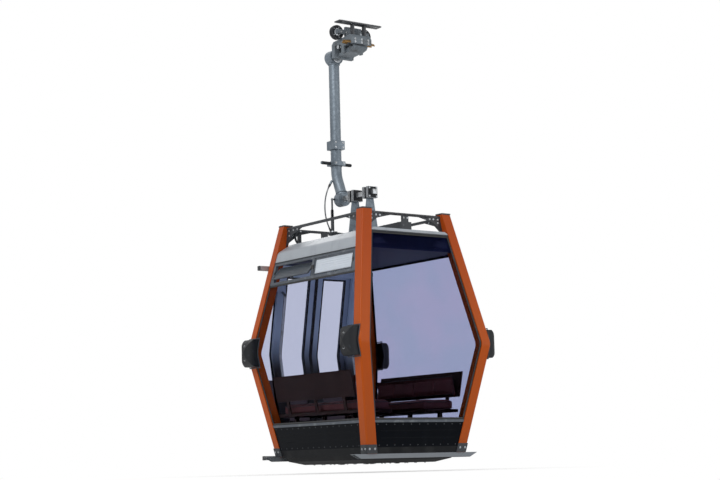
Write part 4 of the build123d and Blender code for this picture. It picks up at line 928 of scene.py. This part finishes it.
hinges = [block((PIVOT[0] - 0.016, y, PIVOT[1]), (0.012, 0.018, 0.044), power=0.3)
          for y in np.concatenate([hinge_y, -hinge_y])]
build("vent_hinges", hinges, plug_plastic)

# Door frame. A painted frame fills the door side, black below the waist as painted shade and pale blue-grey
# above it as a painted sky reflection, with a small pane on each flank and a soft seal round the doorway.
# Inside stand two grab poles.

DOOR_HALF = 0.410
DOOR_HEAD = -2.270
FLANK_EDGES = (0.505, 0.648)
POLE_HEIGHTS = (-3.45, -2.45)


def paint_door(place):
    _, _, z = place.axes()
    peel = place.noise(260.0, 2.0)
    dust = place.noise(4.0, 5.0, (1.0, 1.0, 0.4))
    veil = dust.step(0.45, 0.8) * 0.3
    # Black below the waist is painted shade; the pale blue-grey above is lightened into a painted sky
    # reflection.
    clean = z.step(WAIST_Z - 0.2, WAIST_Z + 0.25).mix(colour(22, 19, 23), colour(176, 194, 218))
    return {"Base Color": veil.mix(clean, colour(126, 138, 156)),
            "Roughness": 0.32 + veil * 0.4, "Bump": (peel, 0.06, 0.0006)}


door_paint = finish("door_paint", paint_door, Specular_IOR_Level=0.25)
dress(door_paint, "door_frame", "door_leaf_front", "door_leaf_rear")
jamb = oval(0.012, 0.010, 0.8, 10)
doorway = [laid(jamb, "door", sign * (DOOR_HALF + 0.006), np.linspace(-4.030, DOOR_HEAD, 60), -0.006)
           for sign in (-1.0, 1.0)]
doorway.append(laid(jamb, "door", np.linspace(-DOOR_HALF, DOOR_HALF, 16), DOOR_HEAD + 0.006, -0.006))
build("doorway_seal", doorway, seal)
flank_low, flank_high = (corner[2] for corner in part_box("door_flank_windows"))
for end, edges in (("front", (leaning(-FLANK_EDGES[1]), upright(-FLANK_EDGES[0]))),
                   ("rear", (upright(FLANK_EDGES[0]), leaning(FLANK_EDGES[1])))):
    flank_rim = rim(oval(0.014, 0.008, 0.6, 10), "door", flank_low, flank_high, *edges, 0.004, -0.009)
    build(f"flank_seal_{end}", [flank_rim], seal)
pole_z = np.linspace(*POLE_HEIGHTS, 60)
hook = np.clip((np.abs(pole_z - sum(POLE_HEIGHTS) / 2) - 0.44) / 0.06, 0.0, 1.0) ** 2 * 0.055
poles = [laid(oval(0.026, 0.026, count=14), "door", sign * 0.452, pole_z, hook - 0.112) for sign in (-1.0, 1.0)]
build("grab_poles", poles, steel)

# Door leaves. They hang outside the frame from tongues that run in the channel over the doorway and
# in the guide under it. Each has a bent pane in a seal, a thick finger guard down its closing edge
# and a brushed kick plate, and a lock housing sits at the waist.

LEAF_OUT = 0.042
LEAF_BACK = 0.012
LEAF_ENDS = (0.003, 0.440)
LEAF_HEIGHTS = (-4.082, -2.240)
LEAF_FACING = (0, 1, -LOWER_SLOPE)
RAIL_Y = 0.8386
RAIL_HEIGHTS = (-2.234, -2.188)
RAIL_END = 0.7005

dress(aluminium, "door_rail", "door_guide")
middle = (LEAF_OUT + LEAF_BACK) / 2
for end, sign in ENDS:
    near, far_edge = sorted((sign * (LEAF_ENDS[0] + 0.080), sign * (LEAF_ENDS[1] - 0.080)))
    pane = (oval(0.016, 0.008, 0.6, 10), "door", SILL_Z, LEAF_HEIGHTS[1] - 0.052,
            upright(near), upright(far_edge), 0.0)
    z = np.linspace(LEAF_HEIGHTS[0] + 0.004, LEAF_HEIGHTS[1] - 0.004, 90)
    guard = laid(oval(0.020, 0.038, 0.5, 14), "door", sign * 0.0105, z, middle)
    tail_seal = laid(oval(0.010, 0.034, 0.5, 12), "door", sign * (LEAF_ENDS[1] + 0.001), z, middle)
    pane_seals = [rim(*pane, LEAF_OUT - 0.002), rim(*pane, LEAF_BACK + 0.002, -1.0)]
    build(f"leaf_seals_{end}", pane_seals + [guard, tail_seal], seal, f"door_{end}")
    kick_z = np.linspace(-4.070, -3.945, 6)[:, None]
    kick = on_wall("door", sign * np.linspace(0.030, 0.425, 8)[None, :], kick_z, LEAF_OUT + 0.0012)
    back = kick - (0.0, 0.0016, 0.0)
    edges = [np.concatenate([face[0], face[1:, -1], face[-1, ::-1][1:], face[::-1, 0][1:-1]])
             for face in (kick, back)]
    corners = on_wall("door", sign * np.array([0.05, 0.40, 0.05, 0.40]),
                      np.array([-4.055, -4.055, -3.96, -3.96]), LEAF_OUT + 0.001)
    build(f"kick_plate_{end}", [panel(kick), panel(back), panel(np.stack(edges), ring=True)]
          + screws(corners, LEAF_FACING, 0.004), aluminium, f"door_{end}")
    lock_z = np.array([-3.18])
    lock_at = on_wall("door", sign * 0.047, lock_z, LEAF_OUT + 0.004)[0]
    keyhole = turned([(0.014, 0.0), (0.014, 0.005), (0.010, 0.007), (0.004, 0.007), (0.004, 0.004)],
                     lock_at + (0, 0.006, 0), normal("door", lock_z), 20)
    case = block(lock_at, (0.050, 0.022, 0.130), power=0.35)
    build(f"leaf_lock_{end}", [case] + keyhole, powder, f"door_{end}")
build("door_rail_screws", rows(
    ((-0.43, -0.39, -0.02, 0.02, 0.39, 0.43), RAIL_Y - 0.03, RAIL_HEIGHTS[1], (0, 0, 1), 0.005)), steel)
build("door_rail_caps", [
    block((x, y, z), (0.010, 0.046, height), power=0.25)
    for y, z, height in ((RAIL_Y, sum(RAIL_HEIGHTS) / 2, 0.048), (0.8055, -4.108, 0.042))
    for x in (-RAIL_END, RAIL_END)], plug_plastic)

# Ski racks. Black moulded troughs on the leaves, scratched pale along their rims by ski edges, with
# ribs down their fronts and a screw in each corner of the flange behind.

RACK_X = 0.2215
RACK_OUT = 0.162
RACK_HALF = 0.146
RIM_Z = -3.740

moulded = finish("moulded_black", worn(
    (30, 31, 33), (84, 85, 87), (90.0, 3.0, (0.3, 1.0, 1.0)), (0.6, 0.75), 600.0, (0.5, 0.2), (0.25, 0.0008)),
    "rack_plastic")
dress(moulded, "ski_rack_front", "ski_rack_rear")
for end, sign in ENDS:
    z = np.linspace(-3.925, -3.745, 8)
    front_y = HALF_WIDTH + RACK_OUT - lean(z)
    ribs = [drawn(oval(0.010, 0.008, 0.6, 8), np.column_stack([np.full(8, sign * RACK_X + x), front_y, z]),
                  LEAF_FACING) for x in np.linspace(-0.135, 0.135, 7)]
    brim_y = HALF_WIDTH + RACK_OUT - float(lean(RIM_Z))
    brim = [(sign * RACK_X + x, brim_y + y, RIM_Z + 0.001) for x, y in
            ((-RACK_HALF, -0.116), (-RACK_HALF, -0.004), (RACK_HALF, -0.004), (RACK_HALF, -0.116))]
    ribs.append(drawn(oval(0.010, 0.010, 0.8, 10), brim, (0, 0, 1)))
    build(f"rack_ribs_{end}", ribs, moulded, f"door_{end}")
    flange = on_wall("door", sign * RACK_X + np.array([-0.160, 0.160, -0.160, 0.160]),
                     np.array([-3.91, -3.91, -3.76, -3.76]), LEAF_OUT)
    ears = [block(place, (0.034, 0.006, 0.034), power=0.5) for place in flange]
    build(f"rack_ears_{end}", ears + screws(flange + (0, 0.003, 0), LEAF_FACING, 0.005), moulded, f"door_{end}")

# Benches. Dark brown moulded shells on steel legs along both ends, the backs on three brackets with
# a gap over the seat. The legs stand on screwed feet.

BENCH_LEG_X = 0.5168
FOOT_PLACES = (-0.476, 0.0, 0.476)
FOOT_BOLTS = (-0.503, -0.449, -0.027, 0.027, 0.449, 0.503)

bench_shell = finish("bench_shell", worn(
    (40, 26, 22), (56, 37, 31), (5.0, 3.0), (), 650.0, (0.5, 0.2), (0.08, 0.0004)), Specular_IOR_Level=0.12)
dress(bench_shell, "bench_frame_front", "bench_frame_rear")
for end, sign in ENDS:
    leg = sign * BENCH_LEG_X
    feet = [block((leg, y, -4.0235), (0.080, 0.070, 0.008), power=0.2) for y in FOOT_PLACES]
    build(f"bench_feet_{end}", feet + rows((leg, FOOT_BOLTS, -4.020, (0, 0, 1), 0.005)), powder)

# Cushions. Foam in dark red-brown leather cloth, blown up by a cloth simulation from a slightly
# smaller core, flat where they rest, with a sewn channel between the places and piping on the rim.

SEAM_PLACES = (-0.323, 0.0, 0.323)
SEAM_WIDTH = 0.009
SEAM_DEPTH = 0.010
VOXEL = 0.009
BLOW_FRAMES = 20


def read(mesh, what="co"):
    """The points of a mesh, or the normals at its points, as one array."""
    flat = np.empty(len(mesh.vertices) * 3)
    mesh.vertices.foreach_get(what, flat)
    return flat.reshape(-1, 3)


def worked(made):
    """The mesh that an object's modifiers make of it. The object loses them."""
    depsgraph = bpy.context.evaluated_depsgraph_get()
    mesh = bpy.data.meshes.new_from_object(made.evaluated_get(depsgraph))
    made.modifiers.clear()
    return mesh


def stuffed(node, shrink, cap, rest, inward):
    """A cushion from its plain solid: the core is scaled about its middle by a shrink, remeshed into
    even cloth, blown up by pressure with each point's move held to a cap, laid flat on the plane it
    rests on, and drawn in along the seams by a bell curve of the distance from each."""
    core = bpy.data.meshes.new(node + "_core")
    shell = bmesh.new()
    shell.from_mesh(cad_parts[node].data)
    bmesh.ops.remove_doubles(shell, verts=shell.verts, dist=1e-5)
    shell.to_mesh(core)
    shell.free()
    low, high = (np.array(corner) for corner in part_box(node))
    points = read(core)
    middle = (low + high) / 2
    core.vertices.foreach_set("co", (middle + (points - middle) * (1 - shrink / (high - low))).ravel())
    cushion = link(bpy.data.objects.new(node + "_cushion", core))
    remesh = cushion.modifiers.new("even", "REMESH")
    remesh.mode = "VOXEL"
    remesh.voxel_size = VOXEL
    even = cushion.data = worked(cushion)
    start = grown = read(even)
    cloth = cushion.modifiers.new("cloth", "CLOTH")
    cloth.settings.quality = 4
    cloth.settings.mass = 0.3
    cloth.settings.use_pressure = True
    cloth.settings.uniform_pressure_force = 4.0
    cloth.settings.effector_weights.gravity = 0.0
    cloth.point_cache.frame_start = 1
    cloth.point_cache.frame_end = BLOW_FRAMES
    for moment in range(1, BLOW_FRAMES + 1):
        bpy.context.scene.frame_set(moment)
    grown = read(worked(cushion))
    bpy.context.scene.frame_set(1)
    move = grown - start
    length = np.linalg.norm(move, axis=1, keepdims=True)
    grown = start + move * np.minimum(1.0, cap / np.maximum(length, 1e-9))
    inward = unit(inward)
    open_side = np.clip(read(even, "normal") @ inward * 2.0, 0.0, 1.0)
    draw_in = sum(np.exp(-((grown[:, 1] - place) / SEAM_WIDTH) ** 2) for place in SEAM_PLACES)
    grown = grown - inward * (SEAM_DEPTH * draw_in * open_side)[:, None]
    rest_normal = unit(rest[1])
    under = np.minimum((grown - rest[0]) @ rest_normal, 0.0)
    grown = np.clip(grown - under[:, None] * rest_normal, low - 0.004, high + 0.009)
    even.vertices.foreach_set("co", grown.ravel())
    even.shade_smooth()
    even.update()
    return cushion, grown


def piping(points, faces, path):
    """A thin tube along a path laid on the cushion: each path point goes to the nearest cloth."""
    tree = BVHTree.FromPolygons(points.tolist(), faces)
    laid_path = np.array([tree.find_nearest(Vector(place))[0] for place in path])
    return drawn(oval(0.008, 0.008, count=8), laid_path, (0, 0, 1), closed=True)


leather = finish("seat_leather", worn(
    (82, 45, 43), (106, 62, 58), (6.0, 4.0), (), 420.0, (0.6, 0.2), (0.2, 0.0006)), Specular_IOR_Level=0.2)
back_inward = (-1.0, 0.0, -LOWER_SLOPE)
BACK_SKIN = HALF_LENGTH - 0.072
for kind, shrink, cap, rest, inward in (
        ("seat", (0.020, 0.024, 0.016), 0.018, ((0, 0, -3.6850), (0, 0, 1)), (0.0, 0.0, 1.0)),
        ("back", (0.020, 0.024, 0.020), 0.016, ((BACK_SKIN - 0.097, 0, -3.5695), back_inward), back_inward)):
    node = f"{kind}_cushion_rear"
    cushion, points = stuffed(node, np.array(shrink), cap, rest, inward)
    faces = [list(face.vertices) for face in cushion.data.polygons]
    low, high = points.min(axis=0), points.max(axis=0)
    loop = oval(2.0, 2.0, 0.12, 160)
    if kind == "seat":
        path = np.column_stack([(low[0] + high[0]) / 2 + loop[:, 0] * (high[0] - low[0]) / 2,
                                loop[:, 1] * high[1], np.full(160, high[2] - 0.024)])
    else:
        height = (low[2] + high[2]) / 2 + loop[:, 0] * (high[2] - low[2]) / 2
        path = np.column_stack([BACK_SKIN - 0.045 + LOWER_SLOPE * (height - WAIST_Z),
                                loop[:, 1] * high[1], height])
    cord_points, cord_faces = piping(points, faces, path)
    for end, sign in ENDS[::-1]:
        piece = cushion
        if end == "front":
            piece = link(bpy.data.objects.new(f"{kind}_cushion_front_cushion", cushion.data.copy()))
            piece.data.vertices.foreach_set("co", (points * (-1, 1, 1)).ravel())
            piece.data.flip_normals()
        smooth = piece.modifiers.new("smooth", "SUBSURF")
        smooth.levels = smooth.render_levels = 1
        piece.data.materials.clear()
        piece.data.materials.append(leather)
        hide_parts(f"{kind}_cushion_{end}")
        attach(piece, "carrier")
        build(f"{kind}_piping_{end}", [(cord_points * (sign, 1, 1), cord_faces)], seal)

# Bumpers. Crowned black rubber pads on the end faces of the posts at the waist, each on a steel
# plate held by two long screws sunk in wells.

PAD_Y = 0.855
PAD_HALF = 0.145
WELL_X = 0.8795

dress(rubber, "bumper_pads_ends")
heights = np.linspace(WAIST_Z - PAD_HALF, WAIST_Z + PAD_HALF, 24)
pad_plates, wells = [], []
for x, y, _ in corner_signs * (1, PAD_Y, 1):
    plate = [np.column_stack([x * (HALF_LENGTH - lean(heights) + 0.004), np.full(24, y + edge), heights])
             for edge in (-0.094, 0.094)]
    pad_plates.append(drawn(oval(0.010, 0.008, 0.5, 8), np.concatenate([plate[0], plate[1][::-1]]), (x, 0, 0),
                            closed=True))
    for shift in (-0.062, 0.062):
        wells += turned([(0.017, -0.010), (0.017, 0.001), (0.014, 0.003), (0.011, 0.001), (0.011, -0.006)],
                        (x * WELL_X, y, WAIST_Z + shift), (x, 0, math.copysign(0.35, shift)), 20)
build("bumper_plates", pad_plates, powder)
build("bumper_wells", wells, steel)

# Guide rails. Dark anodised channels under both long edges, flared at their ends for the stations'
# guides, screwed up into the floor, with a wear strip along their undersides.

STRIP_HALF = 0.640

dark_metal = finish("dark_anodised", worn(
    (92, 97, 103), (120, 125, 130), BRUSHED, rough=(0.38, 0.2)), Metallic=0.5)
dress(dark_metal, "guide_rail_door", "guide_rail_tower")
strips = [drawn(oval(0.006, 0.006, 0.5, 8), [(-STRIP_HALF, y, -4.1425), (STRIP_HALF, y, -4.1425)], (0, 0, 1))
          for y in (-0.710, -0.764, 0.710, 0.764)]
build("rail_wear_strips", strips, plug_plastic)
build("rail_screws", rows((np.linspace(-0.54, 0.54, 7), (-0.737, 0.737), -4.1065, (0, 0, -1), 0.007)), steel)
